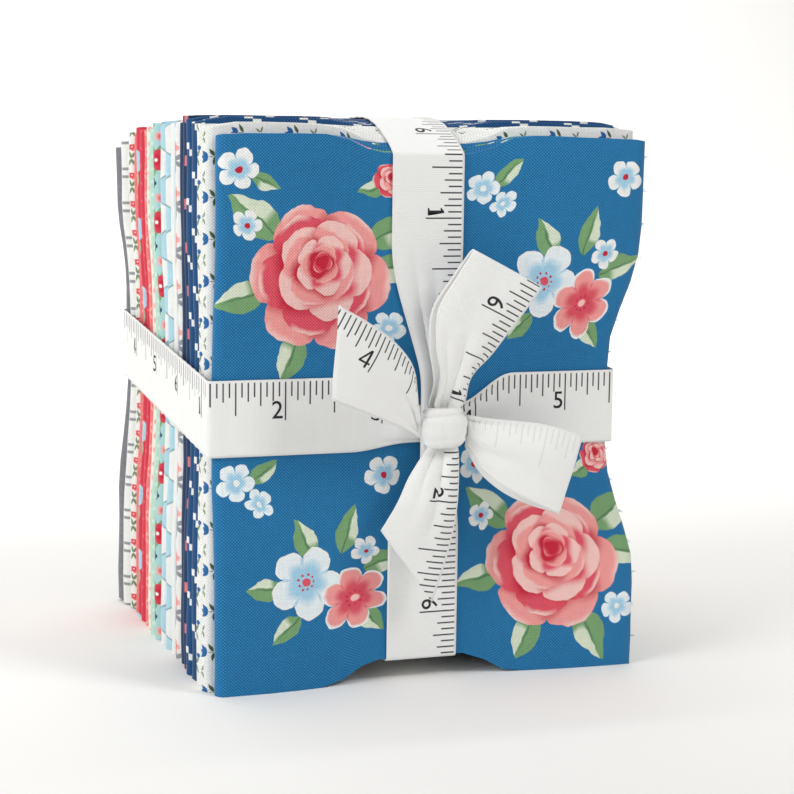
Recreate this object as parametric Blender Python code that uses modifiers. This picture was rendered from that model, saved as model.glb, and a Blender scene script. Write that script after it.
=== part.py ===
"""Fat quarter bundle: folded quilting cottons standing on edge, tied crosswise with a measuring ribbon.

X runs along the folded width, Y from the front of the stack to its back, Z up. Sizes are in metres.
"""
import math
from collections import namedtuple

import bmesh
import bpy
from mathutils import Vector

MM = 0.001

# The folded cut: 18 x 22 in, in four each way
FOLDED_WIDTH = 114.3 * MM
FOLDED_HEIGHT = 139.7 * MM
RUN = 1.0 * MM
RUN_GAP = 0.15 * MM
PIECE_GAP = 0.3 * MM
RUNS = 4
QUARTER_DEPTH = RUNS * RUN + (RUNS - 1) * RUN_GAP
PITCH = QUARTER_DEPTH + PIECE_GAP

# The outer fold wraps the inner one on the left
OUTER_FOLD_RADIUS = (QUARTER_DEPTH - RUN) / 2
OUTER_FOLD_STEPS = 4
INNER_FOLD_INSET = 3.2 * MM
FREE_END_INSET = 0.8 * MM

# How the ribbon draws the stack together
SWELL = 0.11
SWELL_PLANE = -25.0 * MM
RIBBON_HALF = 9.5 * MM
TIGHT_REACH = 45.0 * MM
ACROSS_HEIGHT = 69.5 * MM
ACROSS_RISE = 9.0 * MM
UPRIGHT_PLACE = -2.0 * MM
SIDE_PINCH = 7.5 * MM
SIDE_PINCH_REACH = 46.0 * MM
FOLD_PULL = 0.6
HEM_LIFT = 5.8 * MM
SADDLE_PEAK = 143.0 * MM
SADDLE_PEAK_DEPTH = -24.0 * MM
SADDLE_DROP = 8.5 * MM

# Stations along a run and up the height that every quarter shares
STATIONS = [-28.0 * MM, -13.0 * MM, 9.0 * MM, 26.0 * MM]
BELT_HALF = 10.5 * MM
BELT_FADE = 36.0 * MM
UPRIGHT_HALF = 11.5 * MM
TOP_LEVEL = 5
LEVEL_ROUNDING = 0.1 * MM

# Ribbon
RIBBON = 1.0 * MM
RIBBON_REST = PIECE_GAP + RIBBON / 2
CORNER_STEPS = 3
CORNER_RADIUS = 1.2 * MM
EDGE_RADIUS = RIBBON_REST + 0.1 * MM
FOLD_STANDS_OUT = 0.9 * MM
EDGE_SLACK = 0.5 * MM
TOP_SLACK = 0.6 * MM
LEVEL_STOPS = (-38, -22, -14, -6, 6, 14, 22, 36)
OVER_TOPS = (0.012, 0.04, 0.08, 0.13, 0.2, 0.3, 0.5, 0.7, 0.85, 0.96)

# Where the two rounds cross, one climbs over the other, and in front both gather into the knot
CROSSING_HALF = RIBBON_HALF + 2.5 * MM
CLIMB = 10.0 * MM
BELOW_EDGE = 8.0 * MM
GATHERED_HALF = 4.7 * MM
GATHER_PLACE = 1.0 * MM
GATHER_NEAR_LEVEL = 6.0 * MM
GATHER_FAR_LEVEL = 22.0 * MM
GATHER_NEAR_UPRIGHT = 8.0 * MM
GATHER_FAR_ABOVE = 46.0 * MM
GATHER_FAR_BELOW = 30.0 * MM

KNOT_CENTRE = Vector((0.2, -57.1, 66.6)) * MM
KNOT_HALF = Vector((6.2, 4.2, 5.4)) * MM
KNOT_FULLNESS = 0.72

# A row for each folded quarter, front to back: its colour, how far its left fold stands out,
# how far its right edge stands out, its height over the nominal one and how far its hem is off the floor
Quarter = namedtuple("Quarter", "cloth left right rise hem")
QUARTERS = [
    Quarter("rose_blue", -0.5, 0.0, -0.6, 0.0),
    Quarter("tulip_white", 1.3, -1.0, 2.0, 0.0),
    Quarter("sprig_white", 1.4, -1.4, 1.6, 0.0),
    Quarter("dash_blue", 1.4, 0.2, 3.2, 0.0),
    Quarter("dash_blue", 1.5, 0.6, 3.7, 0.0),
    Quarter("fleck_navy", 1.0, -0.4, 3.8, 0.0),
    Quarter("fleck_navy", 0.5, 0.3, 3.2, 0.0),
    Quarter("posy_white", 0.6, -0.8, 2.4, 0.0),
    Quarter("pale_blue", 0.6, 0.2, 2.2, 0.0),
    Quarter("comb_aqua", 0.8, -0.3, 2.5, 0.0),
    Quarter("comb_aqua", 0.9, 0.4, 2.4, 0.0),
    Quarter("floral_aqua", 1.5, -0.6, 2.6, 0.0),
    Quarter("mint", 1.5, 0.0, 1.3, 0.0),
    Quarter("blush", 1.0, 0.5, 1.2, 0.0),
    Quarter("coral", 0.6, -0.5, 1.2, 0.0),
    Quarter("red", 0.6, 0.2, 0.6, 0.0),
    Quarter("floral_red", 0.5, -0.7, 0.8, 0.0),
    Quarter("coral", 0.0, 0.1, 0.2, 0.3),
    Quarter("sprig_pink", 0.5, -0.3, -0.4, 0.5),
    Quarter("dash_grey", 1.5, 0.3, -2.6, 0.6),
    Quarter("grey", 1.9, -0.2, -3.8, 0.8),
]
STACK_DEPTH = len(QUARTERS) * PITCH - PIECE_GAP
FRONT = -STACK_DEPTH / 2
BACK = STACK_DEPTH / 2

# A row for each station out along a flap: left and right edge as x, z, and how far forward it lies
Flap = namedtuple("Flap", "left_x left_z right_x right_z depth bow")
LOOP_UPPER = [
    Flap(-2.6, 72.6, 6.4, 72.9, -56.8, 0.0),
    Flap(-1.6, 78.9, 7.2, 79.2, -58.6, 0.8),
    Flap(-3.6, 87.8, 11.6, 84.9, -60.6, 1.2),
    Flap(-3.4, 96.8, 15.3, 90.2, -61.8, 0.9),
    Flap(0.8, 103.8, 19.5, 95.4, -62.0, 0.5),
    Flap(5.6, 110.4, 24.2, 101.0, -61.2, 0.2),
]
LOOP_SIDE = [
    Flap(6.8, 60.4, 6.8, 69.4, -56.8, 0.0),
    Flap(10.6, 55.4, 12.2, 68.6, -58.8, 0.9),
    Flap(16.2, 50.8, 22.3, 67.6, -61.0, 1.3),
    Flap(22.6, 47.3, 29.1, 66.2, -62.6, 0.9),
    Flap(29.3, 44.2, 35.5, 64.1, -63.0, 0.3),
]
TAIL_UPPER = [
    Flap(-7.1, 64.6, -6.5, 72.3, -57.0, 0.0),
    Flap(-11.4, 67.0, -8.4, 81.6, -59.2, 0.9),
    Flap(-17.3, 69.6, -14.0, 88.5, -61.0, 1.4),
    Flap(-24.6, 72.6, -21.8, 93.9, -62.8, 1.1),
    Flap(-31.5, 75.4, -29.6, 98.2, -63.6, 0.6),
]
TAIL_LOWER = [
    Flap(-4.6, 60.4, 4.6, 60.6, -56.4, 0.0),
    Flap(-9.0, 54.6, 4.4, 53.1, -57.8, 1.0),
    Flap(-11.7, 49.4, 3.6, 44.2, -58.4, 1.4),
    Flap(-14.0, 45.0, 1.3, 33.3, -58.2, 1.0),
    Flap(-16.2, 41.1, -2.1, 21.9, -57.4, 0.4),
]
LOOP_SLACK = 2.2 * MM
LOOP_TURN_STEPS = 4
FLAP_ACROSS = 4

Finish = namedtuple("Finish", "colour roughness")
FINISHES = {
    "rose_blue": Finish((0.03, 0.17, 0.40), 0.85),
    "tulip_white": Finish((0.84, 0.83, 0.80), 0.85),
    "sprig_white": Finish((0.82, 0.82, 0.78), 0.85),
    "dash_blue": Finish((0.02, 0.11, 0.30), 0.85),
    "fleck_navy": Finish((0.01, 0.05, 0.17), 0.85),
    "posy_white": Finish((0.80, 0.78, 0.75), 0.85),
    "pale_blue": Finish((0.62, 0.78, 0.86), 0.85),
    "comb_aqua": Finish((0.55, 0.77, 0.83), 0.85),
    "floral_aqua": Finish((0.50, 0.74, 0.76), 0.85),
    "mint": Finish((0.60, 0.80, 0.70), 0.85),
    "blush": Finish((0.86, 0.66, 0.60), 0.85),
    "coral": Finish((0.83, 0.28, 0.25), 0.85),
    "red": Finish((0.62, 0.03, 0.07), 0.85),
    "floral_red": Finish((0.60, 0.04, 0.08), 0.85),
    "sprig_pink": Finish((0.84, 0.78, 0.76), 0.85),
    "dash_grey": Finish((0.80, 0.80, 0.79), 0.85),
    "grey": Finish((0.22, 0.23, 0.25), 0.85),
    "ribbon": Finish((0.86, 0.86, 0.85), 0.6),
}


def clear_scene():
    for old in list(bpy.data.objects):
        bpy.data.objects.remove(old, do_unlink=True)


def finish(name):
    """The material of one cloth or of the ribbon."""
    made = bpy.data.materials.get(name)
    if made is None:
        look = FINISHES[name]
        made = bpy.data.materials.new(name)
        made.use_nodes = True
        shader = made.node_tree.nodes["Principled BSDF"]
        shader.inputs["Base Color"].default_value = (*look.colour, 1.0)
        shader.inputs["Roughness"].default_value = look.roughness
        shader.inputs["Metallic"].default_value = 0.0
    return made


def ease(distance, plateau, reach):
    """1 within the plateau, then a smooth fall to 0 at the reach."""
    share = (abs(distance) - plateau) / (reach - plateau)
    share = min(max(share, 0.0), 1.0)
    return 0.5 + 0.5 * math.cos(math.pi * share)


def belt_height(depth):
    """Height of the level ribbon's middle at a depth in the stack; it rises towards the back."""
    return ACROSS_HEIGHT + ACROSS_RISE * (depth - FRONT) / STACK_DEPTH


def swell(along, height, depth):
    """How much looser the stack is here than under the ribbon."""
    tight_up = ease(along - UPRIGHT_PLACE, UPRIGHT_HALF, TIGHT_REACH)
    tight_level = ease(height - belt_height(depth), BELT_HALF, TIGHT_REACH)
    return 1.0 + SWELL * (1.0 - tight_up) * (1.0 - tight_level)


def saddle(depth):
    """Height that the upright ribbon presses the tops down to."""
    reach = SADDLE_PEAK_DEPTH - FRONT if depth < SADDLE_PEAK_DEPTH else BACK - SADDLE_PEAK_DEPTH
    return SADDLE_PEAK - SADDLE_DROP * ((depth - SADDLE_PEAK_DEPTH) / reach) ** 2


def under_ribbon(along):
    """1 under the upright ribbon, 0 from the next station out."""
    return ease(along - UPRIGHT_PLACE, UPRIGHT_HALF, UPRIGHT_PLACE - STATIONS[0])


def arc(centre, radius, start, end, steps):
    """Points of an arc in a plane, the ends included; angles in degrees."""
    turn = [math.radians(start + (end - start) * i / steps) for i in range(steps + 1)]
    return [(centre[0] + radius * math.cos(a), centre[1] + radius * math.sin(a)) for a in turn]


def folded_path(quarter, front):
    """Plan of one folded cut as (x, y) at the middle of its runs: round the outer fold, then in and back."""
    left = -FOLDED_WIDTH / 2 - quarter.left * MM
    right = FOLDED_WIDTH / 2 + quarter.right * MM
    depth = [front + RUN / 2 + i * (RUN + RUN_GAP) for i in range(RUNS)]
    fold_x = left + RUN / 2 + OUTER_FOLD_RADIUS
    middle = (depth[0] + depth[-1]) / 2
    inner_left = left + INNER_FOLD_INSET
    inner_right = right - FREE_END_INSET
    path = [(right - FREE_END_INSET, depth[0])]
    path += [(x, depth[0]) for x in reversed(STATIONS)]
    path += arc((fold_x, middle), OUTER_FOLD_RADIUS, 270, 90, OUTER_FOLD_STEPS)
    path += [(x, depth[3]) for x in STATIONS]
    path += [(right - RUN / 2, depth[3]), (right - RUN / 2, depth[2])]
    path += [(x, depth[2]) for x in reversed(STATIONS)]
    path += [(inner_left, depth[2]), (inner_left, depth[1])]
    path += [(x, depth[1]) for x in STATIONS]
    path += [(inner_right, depth[1])]
    return path


def levels(quarter, depth):
    """Heights of the rows of faces: floor, round the level ribbon, and the top."""
    belt = belt_height(depth)
    top = FOLDED_HEIGHT + quarter.rise * MM
    return [
        quarter.hem * MM,
        belt - BELT_FADE,
        belt - BELT_HALF,
        belt + BELT_HALF,
        belt + BELT_FADE,
        top,
    ]


def drawn_in(quarter, depth, point, level, height):
    """Where a point of the straight folded cut goes once the ribbon is tied."""
    along, across = point
    belt = belt_height(depth)
    pinch = ease(height - belt, BELT_HALF, SIDE_PINCH_REACH)
    share = min(max((along - STATIONS[2]) / (FOLDED_WIDTH / 2 - STATIONS[2]), 0.0), 1.0)
    side = (SIDE_PINCH + quarter.right * MM) * pinch * share
    if along < STATIONS[0]:
        side -= FOLD_PULL * quarter.left * MM * pinch
    y = SWELL_PLANE + (across - SWELL_PLANE) * swell(along, height, depth)
    z = height
    if level == 0:
        z = height + (HEM_LIFT - height) * under_ribbon(along)
    elif level == TOP_LEVEL:
        z = height + (saddle(across) - height) * under_ribbon(along)
    return Vector((along - side, y, z))


def split_alike(work):
    """Splits every face of a straight folded cut the same way, from low left to high right.

    Neighbours then bend along the same lines and keep their gap.
    """
    for face in list(work.faces):
        ends = sorted(face.verts, key=lambda v: (round(v.co.x + v.co.z, 7), v.index))
        bmesh.utils.face_split(face, ends[0], ends[-1])


def solidify(target, thickness):
    wall = target.modifiers.new("wall", "SOLIDIFY")
    wall.thickness = thickness
    wall.offset = 0.0
    wall.use_even_offset = True
    return wall


def put(name, mesh, cloth, parts):
    target = bpy.data.objects.new(name, mesh)
    mesh.materials.append(finish(cloth))
    parts.objects.link(target)
    return target


def trim_level(made, hem):
    """Trims the hem flat where it stands on the floor."""
    bpy.context.view_layer.update()
    solid = made.evaluated_get(bpy.context.evaluated_depsgraph_get())
    mesh = bpy.data.meshes.new_from_object(solid)
    made.modifiers.clear()
    made.data = mesh
    for v in mesh.vertices:
        if v.co.z < hem + LEVEL_ROUNDING:
            v.co.z = hem


def fold_quarter(index, quarter, parts):
    """One folded cut: its plan drawn as an edge, raised level by level, drawn in and given its thickness."""
    front = FRONT + index * PITCH
    depth = front + QUARTER_DEPTH / 2
    heights = levels(quarter, depth)
    path = folded_path(quarter, front)
    mesh = bpy.data.meshes.new("quarter")
    work = bmesh.new()
    row = [work.verts.new((x, y, heights[0])) for x, y in path]
    edges = [work.edges.new(pair) for pair in zip(row, row[1:])]
    rows = [row]
    for height in heights[1:]:
        grown = bmesh.ops.extrude_edge_only(work, edges=edges)["geom"]
        new = {v for v in grown if isinstance(v, bmesh.types.BMVert)}
        edges = [e for e in grown if isinstance(e, bmesh.types.BMEdge) and set(e.verts) <= new]
        row = [next(e.other_vert(v) for e in v.link_edges if e.other_vert(v) in new) for v in row]
        for v in row:
            v.co.z = height
        rows.append(row)
    work.verts.index_update()
    split_alike(work)
    for level, row in enumerate(rows):
        for point, v in zip(path, row):
            v.co = drawn_in(quarter, depth, point, level, heights[level])
    bmesh.ops.recalc_face_normals(work, faces=work.faces)
    work.to_mesh(mesh)
    work.free()
    made = put(f"quarter_{index + 1:02d}", mesh, quarter.cloth, parts)
    solidify(made, RUN)
    trim_level(made, quarter.hem * MM)
    return made


def strip(name, rows, parts, closed=False):
    """A length of ribbon through rows of points across it, given its thickness."""
    mesh = bpy.data.meshes.new(name)
    work = bmesh.new()
    grid = [[work.verts.new(p) for p in row] for row in rows]
    pairs = list(zip(grid, grid[1:]))
    if closed:
        pairs.append((grid[-1], grid[0]))
    for a, b in pairs:
        for i in range(len(a) - 1):
            work.faces.new((a[i], a[i + 1], b[i + 1], b[i]))
    work.to_mesh(mesh)
    work.free()
    made = put(name, mesh, "ribbon", parts)
    solidify(made, RIBBON)
    return made


def gathered(distance, near, far):
    """Half width of the ribbon: gathered beside the knot, full further off."""
    return RIBBON_HALF + (GATHERED_HALF - RIBBON_HALF) * ease(distance, near, far)


def tie_across(parts):
    """The level round: along the front, round the right edges, the back and the left folds."""
    left = -FOLDED_WIDTH / 2 - FOLD_STANDS_OUT - RIBBON_REST
    right = FOLDED_WIDTH / 2 - SIDE_PINCH + RIBBON_REST + EDGE_SLACK
    front, back = FRONT - RIBBON_REST, BACK + RIBBON_REST
    r = CORNER_RADIUS
    plan = [(x * MM, front) for x in LEVEL_STOPS]
    plan += arc((right - r, front + r), r, -90, 0, CORNER_STEPS)
    plan += [(right, 0.0)]
    plan += arc((right - r, back - r), r, 0, 90, CORNER_STEPS)
    plan += [(STATIONS[3], back), (STATIONS[0], back)]
    plan += arc((left + r, back - r), r, 90, 180, CORNER_STEPS)
    plan += [(left, 0.0)]
    plan += arc((left + r, front + r), r, 180, 270, CORNER_STEPS)
    rows = []
    for x, y in plan:
        middle = belt_height(y)
        half = RIBBON_HALF
        if y == front:
            half = gathered(x, GATHER_NEAR_LEVEL, GATHER_FAR_LEVEL)
            middle += (KNOT_CENTRE.z - middle) * ease(x, GATHER_NEAR_LEVEL, GATHER_FAR_LEVEL)
        rows.append([(x, y, middle - half), (x, y, middle + half)])
    return strip("ribbon_across", rows, parts, closed=True)


def upright_route():
    """The upright round in its own plane as (y, z): up the front, over, down the back and under."""
    front, back = FRONT - RIBBON_REST, BACK + RIBBON_REST
    over_front = front - RIBBON - PIECE_GAP
    over_back = back + RIBBON + PIECE_GAP
    knot = KNOT_CENTRE.z
    rear = belt_height(BACK)
    top_front, top_back = saddle(FRONT), saddle(BACK)
    route = [
        (front, HEM_LIFT + BELOW_EDGE),
        (front, knot - CROSSING_HALF - CLIMB),
        (over_front, knot - CROSSING_HALF),
        (over_front, knot),
        (over_front, knot + CROSSING_HALF),
        (front, knot + CROSSING_HALF + CLIMB),
        (front, top_front - BELOW_EDGE),
    ]
    route += arc((FRONT, top_front), EDGE_RADIUS, 180, 120, 2)
    for share in OVER_TOPS:
        y = FRONT + share * STACK_DEPTH
        route.append((y, saddle(y) + RIBBON_REST + TOP_SLACK))
    route += arc((BACK, top_back), EDGE_RADIUS, 60, 0, 2)
    route += [
        (back, top_back - BELOW_EDGE),
        (back, rear + CROSSING_HALF + CLIMB),
        (over_back, rear + CROSSING_HALF),
        (over_back, rear - CROSSING_HALF),
        (back, rear - CROSSING_HALF - CLIMB),
        (back, HEM_LIFT + BELOW_EDGE),
    ]
    route += arc((BACK, HEM_LIFT), EDGE_RADIUS, 0, -90, CORNER_STEPS)
    route += [(0.0, HEM_LIFT - RIBBON_REST)]
    route += arc((FRONT, HEM_LIFT), EDGE_RADIUS, -90, -180, CORNER_STEPS)
    return route


def tie_upright(parts):
    """The upright round, gathered towards the knot in front."""
    rows = []
    for y, z in upright_route():
        middle = UPRIGHT_PLACE
        half = RIBBON_HALF
        if y < FRONT:
            off = z - KNOT_CENTRE.z
            far = GATHER_FAR_ABOVE if off > 0 else GATHER_FAR_BELOW
            middle += (GATHER_PLACE - middle) * ease(off, GATHER_NEAR_UPRIGHT, far)
            half = gathered(off, GATHER_NEAR_UPRIGHT, far)
        rows.append([(middle - half, y, z), (middle + half, y, z)])
    return strip("ribbon_upright", rows, parts, closed=True)


def flap_row(row, behind=0.0):
    """Points across a flap, its middle standing forward by its bow."""
    left = Vector((row.left_x, row.depth, row.left_z)) * MM
    right = Vector((row.right_x, row.depth, row.right_z)) * MM
    points = []
    for i in range(FLAP_ACROSS + 1):
        share = i / FLAP_ACROSS
        crown = 4 * share * (1 - share) * row.bow * MM
        points.append(left.lerp(right, share) + Vector((0, behind - crown, 0)))
    return points


def tail(name, table, parts):
    return strip(name, [flap_row(row) for row in table], parts)


def loop(name, table, parts):
    """A flattened bow loop: out along the front layer, round its end and back behind."""
    last, before = table[-1], table[-2]
    out = Vector((last.left_x + last.right_x - before.left_x - before.right_x, 0,
                  last.left_z + last.right_z - before.left_z - before.right_z)).normalized()
    rows = [flap_row(row) for row in table]
    turn = LOOP_SLACK / 2
    for step in range(1, LOOP_TURN_STEPS):
        angle = math.pi * step / LOOP_TURN_STEPS
        shift = out * turn * math.sin(angle) + Vector((0, turn * (1 - math.cos(angle)), 0))
        rows.append([p + shift for p in flap_row(last)])
    rows += [flap_row(row, behind=LOOP_SLACK) for row in reversed(table[1:])]
    return strip(name, rows, parts)


def tie_knot(parts):
    """The knot: a barrel of ribbon wound once over the crossing, waisted at its top."""
    bpy.ops.mesh.primitive_uv_sphere_add(segments=16, ring_count=10, radius=1.0)
    made = bpy.context.object
    made.name = "ribbon_knot"
    for v in made.data.vertices:
        fuller = Vector([math.copysign(abs(c) ** KNOT_FULLNESS, c) for c in v.co])
        v.co = Vector([fuller[i] * KNOT_HALF[i] for i in range(3)]) + KNOT_CENTRE
    made.data.materials.append(finish("ribbon"))
    made.data.shade_smooth()
    for holder in list(made.users_collection):
        holder.objects.unlink(made)
    parts.objects.link(made)
    return made


def stand_on_floor(parts):
    """Moves the meshes so that the middle of the whole bundle's base is the origin."""
    bpy.context.view_layer.update()
    graph = bpy.context.evaluated_depsgraph_get()
    corners = []
    for made in parts.objects:
        solid = made.evaluated_get(graph)
        corners += [made.matrix_world @ v.co for v in solid.data.vertices]
    low = Vector([min(c[i] for c in corners) for i in range(3)])
    high = Vector([max(c[i] for c in corners) for i in range(3)])
    shift = Vector((-(low.x + high.x) / 2, -(low.y + high.y) / 2, -low.z))
    for made in parts.objects:
        for v in made.data.vertices:
            v.co += shift
    return shift


def main():
    clear_scene()
    parts = bpy.data.collections.new("fat_quarter_bundle")
    bpy.context.scene.collection.children.link(parts)
    for index, quarter in enumerate(QUARTERS):
        fold_quarter(index, quarter, parts)
    tie_across(parts)
    tie_upright(parts)
    tie_knot(parts)
    loop("bow_loop_upper", LOOP_UPPER, parts)
    loop("bow_loop_side", LOOP_SIDE, parts)
    tail("bow_tail_upper", TAIL_UPPER, parts)
    tail("bow_tail_lower", TAIL_LOWER, parts)
    shift = stand_on_floor(parts)
    print("stack depth", round(STACK_DEPTH, 5), "moved by", [round(c, 5) for c in shift])


main()
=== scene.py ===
# %% [markdown]
# # A fat quarter bundle
#
# A fat quarter is a cut of quilting cotton, 18 x 22 in. Shops fold each one in four both ways, to about 4.5
# x 5.5 in, stand a whole range of prints on edge and tie the stack crosswise with a ribbon. The solids of
# the bundle come ready packed, and they settle where every folded cut and every stretch of ribbon lies.
# This lesson gives them what the eye meets: sixteen thin layers in each folded cut, prints that run on
# round the folds, the weave, and a measuring ribbon that gathers into a knot and a bow.

import math
from collections import namedtuple
from functools import partial

import bmesh
import bpy
import numpy as np
from mathutils import Matrix, Vector, noise


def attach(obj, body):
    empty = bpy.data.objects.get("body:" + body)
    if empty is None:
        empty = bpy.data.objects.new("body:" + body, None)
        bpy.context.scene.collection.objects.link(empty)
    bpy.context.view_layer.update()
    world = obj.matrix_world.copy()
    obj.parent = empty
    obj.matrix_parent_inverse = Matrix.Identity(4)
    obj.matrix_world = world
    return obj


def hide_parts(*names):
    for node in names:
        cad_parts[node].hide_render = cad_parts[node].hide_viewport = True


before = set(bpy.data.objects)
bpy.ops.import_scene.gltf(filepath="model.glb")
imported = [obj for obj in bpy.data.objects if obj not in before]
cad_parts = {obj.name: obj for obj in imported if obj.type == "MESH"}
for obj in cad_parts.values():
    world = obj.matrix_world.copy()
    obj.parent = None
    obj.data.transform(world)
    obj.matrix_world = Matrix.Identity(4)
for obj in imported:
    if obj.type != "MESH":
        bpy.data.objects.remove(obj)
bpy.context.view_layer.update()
MM = 0.001

# %% [markdown]
# ## Where the camera stands
#
# The bundle is seen from a little to its left and a little above, from half a metre off, so that the front
# print, the smooth folds on the left and a sliver of the tops all show. Sizes in this lesson are in
# millimetres, measured from the middle of the stack's base, and one helper turns them into the frame's
# metres.

# %% Camera
STACK_BASE = np.array((0.8, 3.37, 0.0))
CAMERA_PLACE = (-174.0, -508.0, 138.5)
CAMERA_YAW, CAMERA_PITCH, CAMERA_ROLL = 19.75, -7.6, 0.8
CAMERA_LENS = 88.3


def in_frame(points):
    """Millimetres from the middle of the stack's base, as metres in the frame."""
    return (np.asarray(points, float) + STACK_BASE) * MM


def put(name, data):
    """A new object in the scene."""
    made = bpy.data.objects.new(name, data)
    bpy.context.scene.collection.objects.link(made)
    return made


def evaluated_mesh(holder):
    """The mesh that an object comes to with its modifiers or as text; the object goes."""
    bpy.context.view_layer.update()
    mesh = bpy.data.meshes.new_from_object(holder.evaluated_get(bpy.context.evaluated_depsgraph_get()))
    bpy.data.objects.remove(holder)
    return mesh


def stand_camera():
    lens = bpy.data.cameras.new("camera")
    lens.lens, lens.sensor_width = CAMERA_LENS, 36.0
    lens.clip_start = 0.01
    camera = put("camera", lens)
    yaw, pitch = math.radians(CAMERA_YAW), math.radians(CAMERA_PITCH)
    look = Vector((math.sin(yaw) * math.cos(pitch), math.cos(yaw) * math.cos(pitch), math.sin(pitch)))
    level = look.to_track_quat("-Z", "Y").to_matrix()
    roll = Matrix.Rotation(math.radians(CAMERA_ROLL), 3, "Z")
    camera.matrix_world = Matrix.Translation(in_frame(CAMERA_PLACE)) @ (level @ roll).to_4x4()
    bpy.context.scene.camera = camera
    return camera


camera = stand_camera()
print("camera at", [round(c, 3) for c in camera.matrix_world.translation])

# %% [markdown]
# ## Floor and light
#
# A product like this is shot on a white sweep under large soft lamps, so that the cloth keeps its own
# colours and only the folds and the ribbon cast soft shade. Broad area lamps and a pale world do that here.

# %% Floor, world and lamps
Lamp = namedtuple("Lamp", "place aim size watts colour")
MIDDLE = (0.0, 0.0, 0.07)
LAMPS = {
    "key_lamp": Lamp((0.75, -0.85, 1.15), MIDDLE, 0.45, 7.6, (1.0, 0.99, 0.98)),
    "left_lamp": Lamp((-1.35, -0.45, 0.75), MIDDLE, 0.8, 12.0, (0.98, 0.99, 1.0)),
    "top_lamp": Lamp((-0.15, 0.15, 1.5), MIDDLE, 0.9, 3.0, (1.0, 1.0, 1.0)),
    "sweep_lamp": Lamp((0.0, 0.7, 2.1), (0.0, 3.2, 1.0), 1.8, 75.0, (1.0, 1.0, 1.0)),
}
WORLD_COLOUR = (1.0, 1.0, 1.0, 1.0)
WORLD_STRENGTH = 0.34


def light_the_table():
    world = bpy.data.worlds.new("pale_room")
    world.use_nodes = True
    world.node_tree.nodes["Background"].inputs["Color"].default_value = WORLD_COLOUR
    world.node_tree.nodes["Background"].inputs["Strength"].default_value = WORLD_STRENGTH
    bpy.context.scene.world = world
    for name, lamp in LAMPS.items():
        light = bpy.data.lights.new(name, "AREA")
        light.size, light.energy, light.color = lamp.size, lamp.watts, lamp.colour
        turn = (Vector(lamp.aim) - Vector(lamp.place)).to_track_quat("-Z", "Y").to_matrix().to_4x4()
        put(name, light).matrix_world = Matrix.Translation(lamp.place) @ turn


light_the_table()
bpy.context.scene.view_settings.view_transform = "Standard"
print(len(LAMPS), "lamps, and a world at", WORLD_STRENGTH)

# %% [markdown]
# ## Shader sums as Python
#
# A printed cloth is made of many small masks: inside this petal, near that line. As nodes that is a long
# list of sums, so one small class wraps a socket and lets Python's operators add the Math nodes.
# `place_node` makes any node from its type, its settings and the values or links of its sockets.

# %% Sockets that do sums
def plug(tree, socket, value):
    """Links a socket to an input, or sets the input to a value."""
    value = value.socket if isinstance(value, Tap) else value
    if isinstance(value, bpy.types.NodeSocket):
        tree.links.new(value, socket)
    else:
        socket.default_value = value


def place_node(tree, kind, settings=None, values=None):
    made = tree.nodes.new(kind)
    for key, value in (settings or {}).items():
        setattr(made, key, value)
    for key, value in (values or {}).items():
        plug(tree, made.inputs[key], value)
    return made


class Tap:
    """One output socket; operators on it add Math nodes."""

    def __init__(self, look, socket):
        self.look, self.socket = look, socket

    def sum(self, operation, *values, clamp=False):
        settings = {"operation": operation, "use_clamp": clamp}
        return self.look.node("ShaderNodeMath", settings, dict(enumerate(values)))

    def line(self, slope, start):
        """slope times the value plus start, held between 0 and 1."""
        return self.sum("MULTIPLY_ADD", self, slope, start, clamp=True)

    def wrap(self, period):
        """The distance to the nearest repeat, from minus half a period to plus half a period."""
        return self.sum("WRAP", self, period / 2, -period / 2)

    def length(self, y):
        pair = self.look.node("ShaderNodeCombineXYZ", None, {0: self, 1: y})
        return self.look.node("ShaderNodeVectorMath", {"operation": "LENGTH"}, {0: pair}, 1)

    def angle(self, y):
        return self.sum("ARCTAN2", y, self)


def give_operators():
    """Adds Python's operators to Tap, each with its reflected form, and the plain functions."""
    signs = {"add": "ADD", "sub": "SUBTRACT", "mul": "MULTIPLY", "truediv": "DIVIDE", "pow": "POWER"}
    for sign, operation in signs.items():
        setattr(Tap, f"__{sign}__", lambda a, b, operation=operation: a.sum(operation, a, b))
        setattr(Tap, f"__r{sign}__", lambda a, b, operation=operation: a.sum(operation, b, a))
    Tap.__lt__ = lambda a, b: a.sum("LESS_THAN", a, b)
    plain = {"abs": "ABSOLUTE", "sin": "SINE", "cos": "COSINE", "floor": "FLOOR"}
    plain |= {"max": "MAXIMUM", "min": "MINIMUM"}
    for name, operation in plain.items():
        setattr(Tap, name, lambda a, *b, operation=operation: a.sum(operation, a, *b))


give_operators()


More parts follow.
